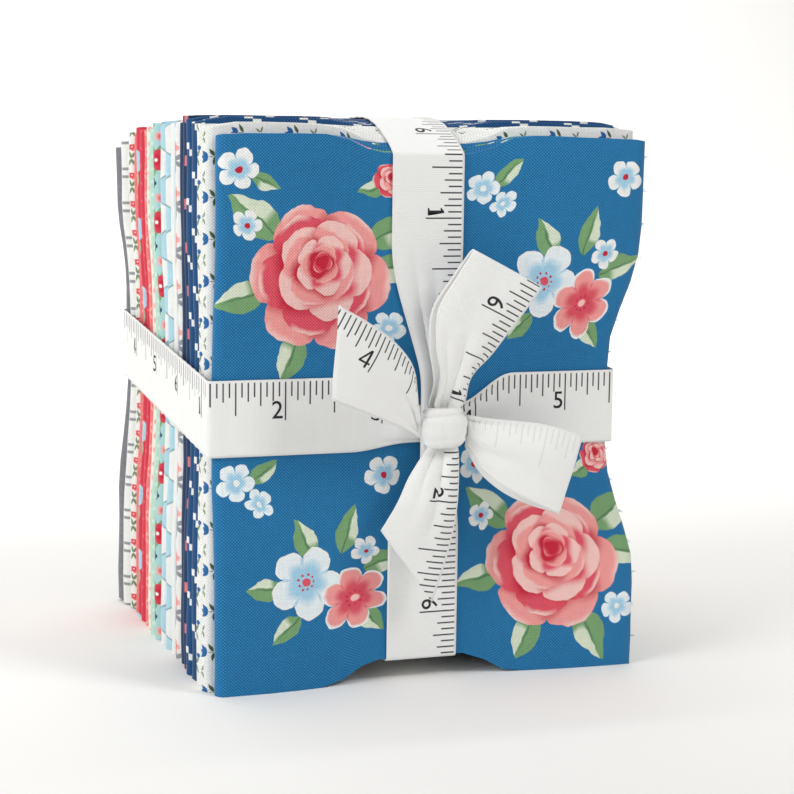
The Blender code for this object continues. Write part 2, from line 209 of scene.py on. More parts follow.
class Look:
    """One material in the making."""

    def __init__(self, name):
        self.material = bpy.data.materials.new(name)
        self.material.use_nodes = True
        self.tree = self.material.node_tree
        self.shader = self.tree.nodes["Principled BSDF"]

    def node(self, kind, settings=None, values=None, output=0):
        return Tap(self, place_node(self.tree, kind, settings, values).outputs[output])

    def surface(self, **inputs):
        """Sets the shader's inputs, written with _ for a space."""
        for name, value in inputs.items():
            plug(self.tree, self.shader.inputs[name.replace("_", " ")], value)

    def over(self, below, above, mask):
        """The colour above where the mask is 1 and below where it is 0."""
        return self.node("ShaderNodeMix", {"data_type": "RGBA"}, {0: mask, 6: below, 7: above}, 2)

    def shaded(self, colour, shade):
        """A colour times a grey value."""
        settings = {"data_type": "RGBA", "blend_type": "MULTIPLY"}
        return self.node("ShaderNodeMix", settings, {0: 1.0, 6: colour, 7: shade}, 2)

    def cloth_place(self):
        """Place on the flat cloth in millimetres, from the piece's own UV map."""
        along = self.node("ShaderNodeSeparateXYZ", None, {0: self.node("ShaderNodeUVMap", {"uv_map": "cut"})})
        return along * (1 / MM), Tap(self, along.socket.node.outputs[1]) * (1 / MM)

    def cloudy(self, x, y, size, detail=2.0):
        """Soft noise around 0.5 with blots of a size in millimetres."""
        pair = self.node("ShaderNodeCombineXYZ", None, {0: x, 1: y})
        values = {"Vector": pair, "Scale": 1 / size, "Detail": detail}
        return self.node("ShaderNodeTexNoise", None, values)


def dye(red, green, blue):
    """A colour as a dyer's chart gives it, 0 to 255 a channel, in the renderer's linear values."""
    def linear(c):
        c /= 255
        return c / 12.92 if c <= 0.04045 else ((c + 0.055) / 1.055) ** 2.4
    return (linear(red), linear(green), linear(blue), 1.0)


print("navy comes out as", [round(c, 3) for c in dye(20, 60, 110)])

# %% [markdown]
# ## Motifs
#
# Quilting prints are built from a few shapes that repeat: leaves, round-petalled flowers, dots and dashes.
# Each helper returns a mask that is 1 inside its shape. A half-drop repeat, where every other column is
# shifted by half a repeat, keeps the eye from seeing rows; it is worked out once for each motif's middle.

# %% Repeats, leaves and petals
SOFT_EDGE = 0.16


def inside(gap, soft=SOFT_EDGE):
    """1 where a distance to an outline is negative, with a soft printed edge."""
    return gap.line(-1 / soft, 0.5)


def over(below, above, mask):
    """The colour above where the mask is 1 and below where it is 0."""
    return mask.look.over(below, above, mask)


def repeat(u, v, column, height, drop=0.5, middle=(0.0, 0.0)):
    """Coordinates round a motif's middle in a repeat whose columns drop by a share of its height."""
    across = u - middle[0]
    number = (across / column + 0.5).floor()
    return across - number * column, (v - middle[1] - number * (drop * height)).wrap(height)


def leaf(x, y, at, degrees, length, width):
    """A pointed leaf from its stalk: its mask, and the coordinates along and across it."""
    c, s = math.cos(math.radians(degrees)), math.sin(math.radians(degrees))
    px, py = x - at[0], y - at[1]
    along, across = px * c + py * s, py * c - px * s
    half = ((along / length).line(1.0, 0.0) ** 0.8 * math.pi).sin() * (width / 2)
    return inside(across.abs() - half + SOFT_EDGE / 2), along, across


def petals(x, y, size, count, cut, turn=0.0):
    """A ring of round petals: its mask, how far out a point lies from 0 to 1, and 1 along each petal's middle."""
    lobe = (x.angle(y) * (count / 2) + turn).cos().abs()
    reach = lobe ** 0.55 * (size * cut) + size * (1 - cut)
    radius = x.length(y)
    return inside(radius - reach), radius / reach, lobe


def dot(x, y, radius):
    return inside(x.length(y) - radius)


def bar(x, y, at, half_x, half_y):
    """A small printed rectangle."""
    return inside(((x - at[0]).abs() - half_x).max((y - at[1]).abs() - half_y))


print("motifs: leaf, petals, dot, bar")

# %% [markdown]
# ## The big front print
#
# The front cut is a mid blue with full pink roses, pink and pale flowers and two-tone leaves. A rose is
# drawn as a painter would block it in: rings of petals from large to small, each a little off the middle of
# the last, dark near its own middle and light at its rim. The repeat is 64 mm wide and 150 mm high with a
# half drop, so two roses and two posies show on the folded face.

# %% Roses, posies and blossoms on blue
BLUE = dye(16, 114, 168)
ROSE_RED, ROSE_MID, ROSE_PINK = dye(202, 14, 50), dye(230, 80, 98), dye(248, 160, 156)
ROSE_LIGHT, PETAL_WHITE = dye(252, 204, 198), dye(246, 247, 246)
LEAF_GREEN, LEAF_PALE, LEAF_VEIN = dye(122, 166, 112), dye(222, 232, 208), dye(84, 128, 86)
PALE_FLOWER, PALE_SHADE = dye(238, 246, 250), dye(166, 212, 236)
ROSE_COLUMN, ROSE_REPEAT = 64.0, 150.0
HAND_SIZE, HAND_WANDER = 5.0, 2.2

Ring = namedtuple("Ring", "x y size count cut turn deep rim")
ROSE_RINGS = [
    Ring(0.0, 0.0, 18.5, 6, 0.20, 0.3, ROSE_RED, ROSE_PINK),
    Ring(-1.2, 0.8, 15.2, 5, 0.22, 1.2, ROSE_RED, ROSE_MID),
    Ring(0.8, 1.8, 12.6, 5, 0.20, 0.2, ROSE_MID, ROSE_LIGHT),
    Ring(-0.6, 2.4, 9.8, 4, 0.24, 0.9, ROSE_RED, ROSE_PINK),
    Ring(0.4, 3.0, 7.4, 5, 0.22, 0.1, ROSE_MID, ROSE_LIGHT),
    Ring(-0.3, 3.4, 5.0, 3, 0.26, 1.4, ROSE_RED, ROSE_PINK),
    Ring(0.1, 3.7, 2.6, 3, 0.20, 0.5, ROSE_RED, ROSE_MID),
]
Leaf = namedtuple("Leaf", "x y turn length width")
Flower = namedtuple("Flower", "x y size rim deep eye")
Group = namedtuple("Group", "middle rose leaves flowers")
LARGE_FLOWER = 7
ROSE_LEAVES = [
    Leaf(12.0, 9.0, 28, 17, 9.0),
    Leaf(13.0, 3.0, -6, 16, 8.0),
    Leaf(-11.0, 10.0, 142, 17, 9.0),
    Leaf(-14.0, -3.0, 196, 14, 8.0),
    Leaf(7.0, -13.0, -62, 16, 8.5),
    Leaf(-5.0, -14.0, 248, 13, 7.5),
]
POSY_LEAVES = [
    Leaf(-4.0, 7.0, 118, 12, 6.5),
    Leaf(3.0, 8.0, 74, 13, 6.0),
    Leaf(9.0, 3.0, 22, 12, 6.5),
    Leaf(-12.0, 0.0, 176, 11, 6.0),
    Leaf(-8.0, -7.0, 222, 10, 5.5),
    Leaf(8.0, -8.0, -52, 11, 6.0),
]


def pale_flower(x, y, size):
    return Flower(x, y, size, PALE_FLOWER, PALE_SHADE, PETAL_WHITE)


def white_flower(x, y, size):
    return Flower(x, y, size, PETAL_WHITE, PALE_SHADE, ROSE_RED)


GROUPS = [
    Group((0.0, 0.0), 1, ROSE_LEAVES, [
        (pale_flower(18.0, -13.0, 4.6), 0.9, 5), (white_flower(-19.5, 13.0, 3.8), 0.2, 5),
    ]),
    Group((3.0, 72.0), 0, POSY_LEAVES, [
        (Flower(-6.5, 1.5, 9.6, PALE_FLOWER, PALE_SHADE, ROSE_MID), 0.4, 5),
        (Flower(6.5, -4.5, 9.2, ROSE_PINK, ROSE_MID, ROSE_LIGHT), 1.0, 6),
        (white_flower(9.5, 8.5, 3.9), 0.6, 5),
    ]),
    Group((-20.0, 26.0), 0, [Leaf(1.5, -1.0, -25, 8.5, 4.4)], [(white_flower(-1.5, 0.5, 5.2), 0.1, 5)]),
    Group((18.5, 27.0), 0.32, [Leaf(-1.0, -1.0, 205, 9.0, 4.6), Leaf(1.0, 1.5, 60, 8.0, 4.2)], []),
    Group((-19.0, -52.0), 0, [Leaf(1.0, 1.0, 38, 9.5, 4.8)], [
        (pale_flower(-2.2, 1.5, 4.8), 0.5, 5), (pale_flower(3.4, -4.0, 3.6), 1.3, 5),
    ]),
    Group((17.0, -50.0), 0, [], [(white_flower(0.0, 0.0, 4.9), 0.8, 5)]),
]


def draw_leaf(colour, x, y, place):
    """A two-tone leaf: green, pale on one side, with a darker vein."""
    mask, along, across = leaf(x, y, (place.x, place.y), place.turn, place.length, place.width)
    vein = inside(across.abs() - 0.22) * (along / place.length).line(-3.0, 2.6)
    pale = inside(across + 0.5) * (along / place.length).line(9.0, -2.4)
    green = over(over(LEAF_GREEN, LEAF_PALE, pale), LEAF_VEIN, vein)
    return over(colour, green, mask)


def draw_rose(colour, x, y, scale=1.0, rings=ROSE_RINGS):
    for ring in rings:
        px, py = x - ring.x * scale, y - ring.y * scale
        mask, out, lobe = petals(px, py, ring.size * scale, ring.count, ring.cut, ring.turn)
        petal = over(ring.deep, ring.rim, (out + lobe * 0.35).line(4.5, -3.9))
        petal = over(petal, ROSE_LIGHT, out.line(16.0, -14.6) * lobe.line(3.0, -1.9))
        colour = over(colour, petal, mask)
    return colour


def ring_of_dots(x, y, radius, count, size):
    along = x.angle(y).wrap(2 * math.pi / count) * radius
    return inside((x.length(y) - radius).length(along) - size)


def draw_blossom(colour, x, y, flower, turn=0.0, count=5):
    """A flat flower: rim colour, a deeper middle, and a pale edge and dotted eye if it is large."""
    px, py = x - flower.x, y - flower.y
    mask, out, lobe = petals(px, py, flower.size, count, 0.42, turn)
    tone = over(flower.deep, flower.rim, out.line(4.0, -1.7))
    tone = over(tone, flower.deep, lobe.line(-9.0, 2.2) * out.line(1.0, 0.0))
    large = flower.size > LARGE_FLOWER
    if large:
        tone = over(tone, PETAL_WHITE, out.line(14.0, -12.4))
    colour = over(over(colour, tone, mask), flower.eye, dot(px, py, flower.size * (0.12 if large else 0.17)))
    if large:
        colour = over(colour, ROSE_RED, ring_of_dots(px, py, flower.size * 0.22, 9, 0.32))
    return colour


def print_rose_blue(u, v):
    look = u.look
    u = u + (look.cloudy(u, v, HAND_SIZE) - 0.5) * HAND_WANDER
    v = v + (look.cloudy(v, u, HAND_SIZE) - 0.5) * HAND_WANDER
    colour = BLUE
    for group in GROUPS:
        x, y = repeat(u, v, ROSE_COLUMN, ROSE_REPEAT, middle=group.middle)
        for place in group.leaves:
            colour = draw_leaf(colour, x, y, place)
        for flower, turn, count in group.flowers:
            colour = draw_blossom(colour, x, y, flower, turn, count)
        if group.rose:
            colour = draw_rose(colour, x, y, group.rose, ROSE_RINGS if group.rose == 1 else ROSE_RINGS[1:6])
    return colour


print("rose print repeats every", ROSE_COLUMN, "x", ROSE_REPEAT, "mm")

# %% [markdown]
# ## The small prints
#
# The other cuts show mostly as their folds, strips 4 to 5 mm wide, so their motifs are small: tulips,
# sprigs, dashes, flecks and six-sided cells. Each is a function from the place on the flat cloth to a
# colour.

# %% Small prints
WHITE, CREAM = dye(240, 240, 236), dye(244, 236, 224)
TULIP_BLUE, STEM_GREEN, SPRIG_GREEN = dye(20, 98, 160), dye(66, 92, 56), dye(112, 138, 96)
DEEP_BLUE, NAVY, CORAL_FLECK = dye(0, 70, 122), dye(0, 48, 90), dye(226, 120, 128)
CELL_AQUA, CELL_LINE, AQUA = dye(178, 216, 230), dye(140, 172, 178), dye(172, 214, 212)
RED, CORAL, PINK, MINT = dye(216, 48, 72), dye(236, 120, 118), dye(242, 178, 172), dye(190, 222, 204)
GREY, DASH_GREY, POSY_GREY, SAGE = dye(134, 136, 140), dye(150, 152, 154), dye(150, 150, 156), dye(164, 184, 150)
CORAL_LIGHT, RED_LIGHT, MINT_LIGHT = dye(248, 176, 168), dye(232, 96, 110), dye(216, 236, 224)
PALE_BLUE, DARK_GREY = dye(206, 228, 238), dye(112, 114, 120)


SPRIG_TURNS = (60, 105, 250, 295)


def sprig(colour, x, y, size, green, turns=SPRIG_TURNS):
    for turn in turns:
        colour = over(colour, green, leaf(x, y, (0.0, 0.0), turn, size, size * 0.34)[0])
    return colour


def tulip(colour, x, y, size, petal, green):
    """A crown of three pointed petals that lies to the left, and two leaves from the end of its stem."""
    for turn, length, width in ((120, 1.05, 0.38), (262, 1.0, 0.38), (180, 0.7, 0.14)):
        mask = leaf(x, y, (0.55 * size, 0.0), turn, size * length, size * width)[0]
        colour = over(colour, green, mask)
    for turn in (136, 224, 180):
        colour = over(colour, petal, leaf(x, y, (0.0, 0.0), turn, size, size * 0.5)[0])
    return colour


def print_tulip_white(u, v):
    x, y = repeat(u, v, 7.0, 10.3)
    colour = sprig(WHITE, x + 1.3, (y + 5.15).wrap(10.3), 1.9, SPRIG_GREEN, (75, 140, 235, 285))
    return tulip(colour, x, y, 2.5, TULIP_BLUE, STEM_GREEN)


def print_sprig_white(u, v):
    x, y = repeat(u, v, 5.0, 8.5)
    return over(sprig(WHITE, x, y, 2.6, SPRIG_GREEN), TULIP_BLUE, dot(x - 0.9, y - 2.4, 0.6))


def print_dash_blue(u, v):
    x, y = repeat(u, v, 7.2, 14.4)
    return over(DEEP_BLUE, WHITE, bar(x, y, (-1.1, 1.3), 1.1, 0.85).max(bar(x, y, (1.1, -0.5), 1.1, 0.85)))


def print_fleck_navy(u, v):
    return over(NAVY, CORAL_FLECK, bar(*repeat(u, v, 3.8, 11.0), (0.0, 0.0), 0.45, 1.3))


def print_posy_white(u, v):
    x, y = repeat(u, v, 7.0, 12.0)
    colour = sprig(WHITE, x, y, 4.0, POSY_GREY, (30, 80, 130, 215, 275, 330))
    return draw_blossom(colour, x, y, Flower(0.0, 3.4, 1.9, PINK, CORAL, WHITE))


def print_pale_blue(u, v):
    return over(PALE_BLUE, WHITE, inside(u.wrap(2.6).abs() - 0.7, 0.3))


def print_comb_aqua(u, v, flat=8.4):
    """Six-sided cells: the nearer of two staggered grids of middles owns each point."""
    tall = flat * math.sqrt(3)
    gaps = []
    for shift in (0.0, 0.5):
        x, y = (u + shift * flat).wrap(flat).abs(), (v + shift * tall).wrap(tall).abs()
        gaps.append(x.max(x * 0.5 + y * (math.sqrt(3) / 2)))
    colour = over(WHITE, CELL_AQUA, gaps[0] < gaps[1])
    return over(colour, CELL_LINE, inside(flat / 2 - 0.22 - gaps[0].min(gaps[1])))


def print_floral_aqua(u, v):
    x, y = repeat(u, v, 8.0, 17.0)
    colour = sprig(AQUA, x, y, 5.2, LEAF_GREEN, (70, 110, 260))
    for flower in (Flower(0.0, 0.0, 3.0, RED, ROSE_RED, WHITE), Flower(1.2, 6.6, 1.6, PINK, CORAL, RED),
                   Flower(-1.4, -6.4, 1.5, NAVY, TULIP_BLUE, WHITE)):
        colour = draw_blossom(colour, x, y, flower)
    return colour


def print_coral(u, v):
    return sprig(CORAL, *repeat(u, v, 4.4, 6.4), 2.4, CORAL_LIGHT, (50, 130, 230, 310))


def print_floral_red(u, v):
    x, y = repeat(u, v, 7.4, 19.0)
    colour = sprig(RED, x, y + 4.0, 5.4, SAGE, (80, 100, 262))
    return draw_blossom(colour, x, y, Flower(0.0, 4.0, 3.2, CELL_AQUA, PALE_SHADE, WHITE))


def print_sprig_pink(u, v):
    x, y = repeat(u, v, 4.4, 8.2)
    return draw_blossom(sprig(WHITE, x, y, 2.5, SPRIG_GREEN), x, y, Flower(0.2, 3.4, 1.3, CORAL, RED, CREAM))


def print_dash_grey(u, v):
    x, y = repeat(u, v, 4.8, 10.0, drop=0.0)
    return over(WHITE, DASH_GREY, bar(x, y, (0.0, 1.15), 1.5, 0.42).max(bar(x, y, (0.0, -1.15), 1.5, 0.42)))


def print_grey(u, v):
    return over(GREY, DARK_GREY, u.look.cloudy(u, v, 1.2).line(2.0, -0.5))


def dotted(ground, spot, column, height, radius):
    """A print of plain dots."""
    return lambda u, v: over(ground, spot, dot(*repeat(u, v, column, height), radius))


PRINTS = {
    "rose_blue": print_rose_blue,
    "tulip_white": print_tulip_white,
    "sprig_white": print_sprig_white,
    "dash_blue": print_dash_blue,
    "fleck_navy": print_fleck_navy,
    "posy_white": print_posy_white,
    "pale_blue": print_pale_blue,
    "comb_aqua": print_comb_aqua,
    "floral_aqua": print_floral_aqua,
    "mint": dotted(MINT, MINT_LIGHT, 2.8, 3.6, 0.5),
    "blush": dotted(CREAM, PINK, 2.6, 4.0, 0.75),
    "coral": print_coral,
    "red": dotted(RED, RED_LIGHT, 3.0, 5.0, 0.4),
    "floral_red": print_floral_red,
    "sprig_pink": print_sprig_pink,
    "dash_grey": print_dash_grey,
    "grey": print_grey,
}
print(len(PRINTS), "prints")

# %% [markdown]
# ## Quilting cotton
#
# Quilting cotton is a plain weave of about 60 threads to the inch each way. Up close it shows as tiny light
# and dark squares where one thread passes over the next, and that breaks up every printed colour a little.
# A product of two sine waves gives that checker, and noise drawn out along each thread makes some yarns
# thicker than others. Both tint the dye and feed a shallow bump. The crowns of the threads get a painted
# highlight, a pale colour mixed into the dye, which shows most on dark dyes. Sheen stands for the fine
# fuzz that catches light at the folds.

# %% Cotton materials
THREAD = 0.40
# the crown strength and the pale crown colour paint a highlight into the dye where threads pass over
WEAVE_TINT, YARN_TINT, PAINTED_HIGHLIGHT_STRENGTH = 0.16, 0.24, 0.10
PAINTED_HIGHLIGHT_COLOUR = dye(226, 234, 240)
CLOTH_ROUGHNESS = 0.88
CLOTH_SHEEN = 0.22


def quilting_cotton(name):
    look = Look(name)
    u, v = look.cloth_place()
    over_under = (u * (math.pi / THREAD)).sin() * (v * (math.pi / THREAD)).sin()
    yarns = look.cloudy(u * 0.08, v, THREAD, 1.0) + look.cloudy(u, v * 0.08, THREAD, 1.0)
    shade = over_under * WEAVE_TINT + (yarns - 1.0) * YARN_TINT + 0.97
    colour = look.shaded(PRINTS[name](u, v), shade)
    # painted highlight: a pale colour mixed into the dye on the thread crowns, standing in for the light they catch
    colour = look.over(colour, PAINTED_HIGHLIGHT_COLOUR, over_under.line(PAINTED_HIGHLIGHT_STRENGTH, 0.0))
    relief = over_under * 0.5 + yarns * 0.4
    bump = {"Height": relief, "Strength": 0.6, "Distance": 0.0001}
    look.surface(Base_Color=colour, Normal=look.node("ShaderNodeBump", None, bump), Roughness=CLOTH_ROUGHNESS,
                 Specular_IOR_Level=0.22, Sheen_Weight=CLOTH_SHEEN, Sheen_Roughness=0.4)
    return look.material


cottons = {name: quilting_cotton(name) for name in PRINTS}
print("nodes in the rose print:", len(cottons["rose_blue"].node_tree.nodes))

# %% [markdown]
# ## How a tied stack gives way
#
# The stack was straight until the ribbon was pulled tight. Under the ribbon it keeps its width; between the
# ribbon's arms it swells, the tops dip, the hems lift and the free edges on the right are drawn in. Every
# folded cut is bent by the same few smooth rules, so neighbours never cut through each other.

# %% Rules of the tied stack
FOLDED_WIDTH, FOLDED_HEIGHT = 114.3, 139.7
RUN, RUN_GAP, RUNS = 1.0, 0.15, 4
QUARTER_GAP = 0.3
QUARTER_DEPTH = RUNS * RUN + (RUNS - 1) * RUN_GAP
PITCH = QUARTER_DEPTH + QUARTER_GAP
QUARTER_COUNT = 21
STACK_DEPTH = QUARTER_COUNT * PITCH - QUARTER_GAP
FRONT, BACK = -STACK_DEPTH / 2, STACK_DEPTH / 2
SWELL, SWELL_PLANE = 0.11, -25.0
ACROSS_HEIGHT, ACROSS_RISE = 69.5, 9.0
UPRIGHT_PLACE, UPRIGHT_HALF, TIGHT_REACH = -2.0, 11.5, 45.0
BELT_HALF, BELT_FADE = 10.5, 36.0
SIDE_PINCH, SIDE_PINCH_REACH, PINCH_START = 7.5, 46.0, 9.0
FOLD_PULL, FOLD_PULL_START = 0.6, -28.0
HEM_LIFT, UNDER_REACH = 5.8, 26.0
SADDLE_PEAK, SADDLE_PEAK_DEPTH, SADDLE_DROP = 143.0, -24.0, 8.5


def ease(distance, plateau, reach):
    """1 within the plateau, then a smooth fall to 0 at the reach."""
    share = np.clip((np.abs(distance) - plateau) / (reach - plateau), 0.0, 1.0)
    return 0.5 + 0.5 * np.cos(np.pi * share)


def belt_height(depth):
    return ACROSS_HEIGHT + ACROSS_RISE * (depth - FRONT) / STACK_DEPTH


def saddle(depth):
    """Height that the upright ribbon presses the tops down to."""
    reach = np.where(depth < SADDLE_PEAK_DEPTH, SADDLE_PEAK_DEPTH - FRONT, BACK - SADDLE_PEAK_DEPTH)
    return SADDLE_PEAK - SADDLE_DROP * ((depth - SADDLE_PEAK_DEPTH) / reach) ** 2


def slackness(x, z, depth):
    """0 where the ribbon holds the stack, 1 out in the four corners."""
    tight_up = ease(x - UPRIGHT_PLACE, UPRIGHT_HALF, TIGHT_REACH)
    tight_level = ease(z - belt_height(depth), BELT_HALF, TIGHT_REACH)
    return (1 - tight_up) * (1 - tight_level)


def draw_in(points, quarter, depth):
    """Bends the points of one straight folded cut, in mm, to where they lie in the tied stack."""
    x, y, z = points[..., 0], points[..., 1], points[..., 2]
    belt = belt_height(depth)
    top, hem = FOLDED_HEIGHT + quarter.rise, quarter.hem
    pinch = ease(z - belt, BELT_HALF, SIDE_PINCH_REACH)
    to_right = np.clip((x - PINCH_START) / (FOLDED_WIDTH / 2 - PINCH_START), 0, 1)
    to_left = np.clip((FOLD_PULL_START - x) / (FOLDED_WIDTH / 2 + FOLD_PULL_START), 0, 1)
    side = (SIDE_PINCH + quarter.right) * pinch * to_right - FOLD_PULL * quarter.left * pinch * to_left
    deep = SWELL_PLANE + (y - SWELL_PLANE) * (1 + SWELL * slackness(x, z, depth))
    under = ease(x - UPRIGHT_PLACE, UPRIGHT_HALF, UNDER_REACH)
    low_share = np.clip(1 - (z - hem) / (belt - BELT_FADE - hem), 0, 1)
    high_share = np.clip((z - belt - BELT_FADE) / (top - belt - BELT_FADE), 0, 1)
    high = z + (HEM_LIFT - hem) * under * low_share + (saddle(y) - top) * under * high_share
    return np.stack([x - side, deep, high], axis=-1)


print("stack depth", round(STACK_DEPTH, 2), "mm; saddle in front", round(float(saddle(FRONT)), 1), "mm high")

# %% [markdown]
# ## One folded cut
#
# In plan the cloth goes along the front, round the big fold on the left, along the back, round a small fold
# on the right, and back inside. Up and down it goes four times as well, so every run is four layers thick.
# So the whole 18 x 22 in cut is here, as one grid: stations along the plan by rows up and down the layers.
# The grid also knows each point's place on the flat cloth, which is what the print and the weave read.

# %% The grid of one folded cut
LAYERS = 4
LAYER = RUN / LAYERS
CLOTH = 0.18
FREE_END_INSET, INNER_FOLD_INSET = 0.8, 3.2
STOPS = (54, 47, 40, 33, 27, 21, 15.5, 9.5, 3.0, -4.5, -13.5, -18, -23, -29, -36, -43, -50)
ROWS_BESIDE_BELT = 9
TURN_ANGLES = (45, 90, 135)


def flat_grid(along, across):
    """Places on the flat cloth for every station and row."""
    return np.stack(np.meshgrid(along, across, indexing="ij"), axis=-1)


def lengths_along(line):
    return np.concatenate([[0.0], np.cumsum(np.linalg.norm(np.diff(line, axis=0), axis=1))])


def arc(centre, radius, start, end, steps):
    turn = [math.radians(start + (end - start) * i / steps) for i in range(steps + 1)]
    return [(centre[0] + radius * math.cos(a), centre[1] + radius * math.sin(a)) for a in turn]


def plan_of(quarter, front):
    """Stations along the cut in plan: the middle of the run, its outward direction and the length so far."""
    left, right = -FOLDED_WIDTH / 2 - quarter.left, FOLDED_WIDTH / 2 + quarter.right
    depth = [front + RUN / 2 + i * (RUN + RUN_GAP) for i in range(RUNS)]
    outer, inner = (QUARTER_DEPTH - RUN) / 2, (RUN + RUN_GAP) / 2
    line = [(right - FREE_END_INSET, depth[0])] + [(x, depth[0]) for x in STOPS]
    line += arc((left + RUN / 2 + outer, front + QUARTER_DEPTH / 2), outer, 270, 90, 10)
    line += [(x, depth[3]) for x in reversed(STOPS)]
    line += arc((right - RUN / 2 - inner, depth[2] + inner), inner, 90, -90, 4)
    line += [(x, depth[2]) for x in STOPS]
    line += arc((left + INNER_FOLD_INSET + inner, depth[1] + inner), inner, 90, 270, 4)
    line += [(x, depth[1]) for x in reversed(STOPS)] + [(right - FREE_END_INSET, depth[1])]
    line = np.array(line)
    heading = np.gradient(line, axis=0)
    heading /= np.linalg.norm(heading, axis=1, keepdims=True)
    outward = np.stack([-heading[:, 1], heading[:, 0]], axis=1)
    return line, outward, lengths_along(line)


def rows_of(quarter, depth):
    """Rows up and down the layers: how far off the run's middle, how high, and the length so far."""
    low, top, belt = quarter.hem, FOLDED_HEIGHT + quarter.rise, belt_height(depth)
    margin = LAYER / 2 + CLOTH / 2
    below = np.linspace(low + margin, belt - BELT_HALF, ROWS_BESIDE_BELT)
    above = np.linspace(belt + BELT_HALF, top - margin, ROWS_BESIDE_BELT)
    climb = [*below, belt, *above]
    rows = [(1.5 * LAYER, low)]
    for layer in range(LAYERS):
        off = (1.5 - layer) * LAYER
        rows += [(off, z) for z in (climb if layer % 2 == 0 else reversed(climb))]
        if layer < LAYERS - 1:
            end, way = (top - margin, 1) if layer % 2 == 0 else (low + margin, -1)
            for angle in TURN_ANGLES:
                a = math.radians(angle)
                rows.append((off - LAYER / 2 + LAYER / 2 * math.cos(a), end + way * LAYER / 2 * math.sin(a)))
    rows.append((-1.5 * LAYER, low))
    rows = np.array(rows)
    return rows, lengths_along(rows)


print("runs are", LAYERS, "layers of", LAYER, "mm")

# %% [markdown]
# ## Hand-folded, not machined
#
# Real folds waver. A slow noise field moves all layers of all cuts together, so the gaps between them stay,
# and a second noise moves each cut's fold, top and free edge a fraction of a millimetre on its own. Around
# the ribbon the cloth puckers: short soft creases run out from where the arms cross.

# %% Small unevenness
WAVE_SIZE, WAVE_DEPTH = 34.0, 0.9
FOLD_WAVER, TOP_WAVER, END_WAVER = 0.45, 0.40, 0.55
CORNER_DROOP, CORNER_REACH = 1.5, 9.0
PUCKER_DEPTH, PUCKER_COUNT, PUCKER_REACH = 1.1, 9, 30.0


def smooth_noise(places):
    """Noise between about -1 and 1 at each place of an array of xyz places."""
    flat = places.reshape(-1, 3)
    return np.array([noise.noise(Vector(p)) for p in flat]).reshape(places.shape[:-1])


def waver(points, index, depth, quarter):
    """Where a hand-folded cut strays from the rules, in mm."""
    x, y, z = points[..., 0], points[..., 1], points[..., 2]
    loose = slackness(x, z, depth)
    field = np.stack([x / WAVE_SIZE, z / (WAVE_SIZE * 1.3), y / 90.0], axis=-1)
    forward = WAVE_DEPTH * smooth_noise(field) * (0.15 + 0.85 * loose)
    own = np.stack([z / 16.0, np.full_like(z, index * 3.7), np.sign(x) * 5.0], axis=-1)
    edge = smooth_noise(own)
    at_left = np.clip((-x - 46) / 11, 0, 1)
    at_right = np.clip((x - 46) / 11, 0, 1)
    top = FOLDED_HEIGHT + quarter.rise
    at_top = np.clip((z - top + 30) / 30, 0, 1) ** 2
    crest = smooth_noise(np.stack([x / 19.0, np.full_like(x, index * 5.1), np.full_like(x, 9.0)], axis=-1))
    under = ease(x - UPRIGHT_PLACE, UPRIGHT_HALF, UNDER_REACH)
    angle = np.arctan2(z - belt_height(depth), x - UPRIGHT_PLACE)
    radius = np.hypot(z - belt_height(depth), x - UPRIGHT_PLACE)
    near_front = np.clip(1 - (y - FRONT) / 25, 0, 1)
    pucker = np.sin(angle * PUCKER_COUNT) * np.exp(-((radius - 24) / PUCKER_REACH) ** 2) * loose
    forward -= PUCKER_DEPTH * pucker * near_front
    sideways = edge * (FOLD_WAVER * at_left + END_WAVER * at_right)
    upward = TOP_WAVER * crest * at_top * (1 - under)
    corner = np.clip((np.abs(x) - FOLDED_WIDTH / 2 + CORNER_REACH) / CORNER_REACH, 0, 1)
    upward -= CORNER_DROOP * corner ** 2.5 * at_top * (0.6 + 0.4 * math.sin(index * 2.3))
    return np.stack([sideways, forward, upward], axis=-1)


print("folds waver by up to", FOLD_WAVER, "mm")

# %% [markdown]
# ## From grids to pieces
#
# Everything woven in this bundle is a grid of points: the cuts and the ribbon alike. One helper makes the
# mesh and lays the flat-cloth coordinates on it as a UV map named `cut`; another gives the sheet its real
# thickness.

# %% Grid to mesh
def woven_piece(name, points, cut, thickness, material, closed=False):
    """A sheet through a grid of points in mm. cut holds each point's place on the flat cloth in mm."""
    rows, cols = points.shape[:2]
    corner = np.arange(rows * cols).reshape(rows, cols)
    place = np.arange((rows + closed) * cols).reshape(-1, cols)
    if closed:
        corner = np.vstack([corner, corner[:1]])
    around = lambda g: np.stack([g[:-1, :-1], g[:-1, 1:], g[1:, 1:], g[1:, :-1]], axis=-1).reshape(-1, 4)
    mesh = bpy.data.meshes.new(name)
    mesh.from_pydata(in_frame(points).reshape(-1, 3).tolist(), [], around(corner).tolist())
    layer = mesh.uv_layers.new(name="cut")
    flat = (np.asarray(cut) * MM).reshape(-1, 2)[around(place).reshape(-1)]
    layer.data.foreach_set("uv", flat.astype(np.float32).ravel())
    mesh.materials.append(material)
    mesh.shade_smooth()
    piece = put(name, mesh)
    wall = piece.modifiers.new("thickness", "SOLIDIFY")
    wall.thickness, wall.offset = thickness * MM, 0.0
    return piece


print("grid helper ready")

# %% [markdown]
# ## The stack
#
# A row for each folded cut, front to back: its cloth, how far its left fold and right edge stand out, its
# height over the rest and how far its hem is off the table, all in mm, and where on the bolt it was cut,
# which decides what part of the print meets the fold.

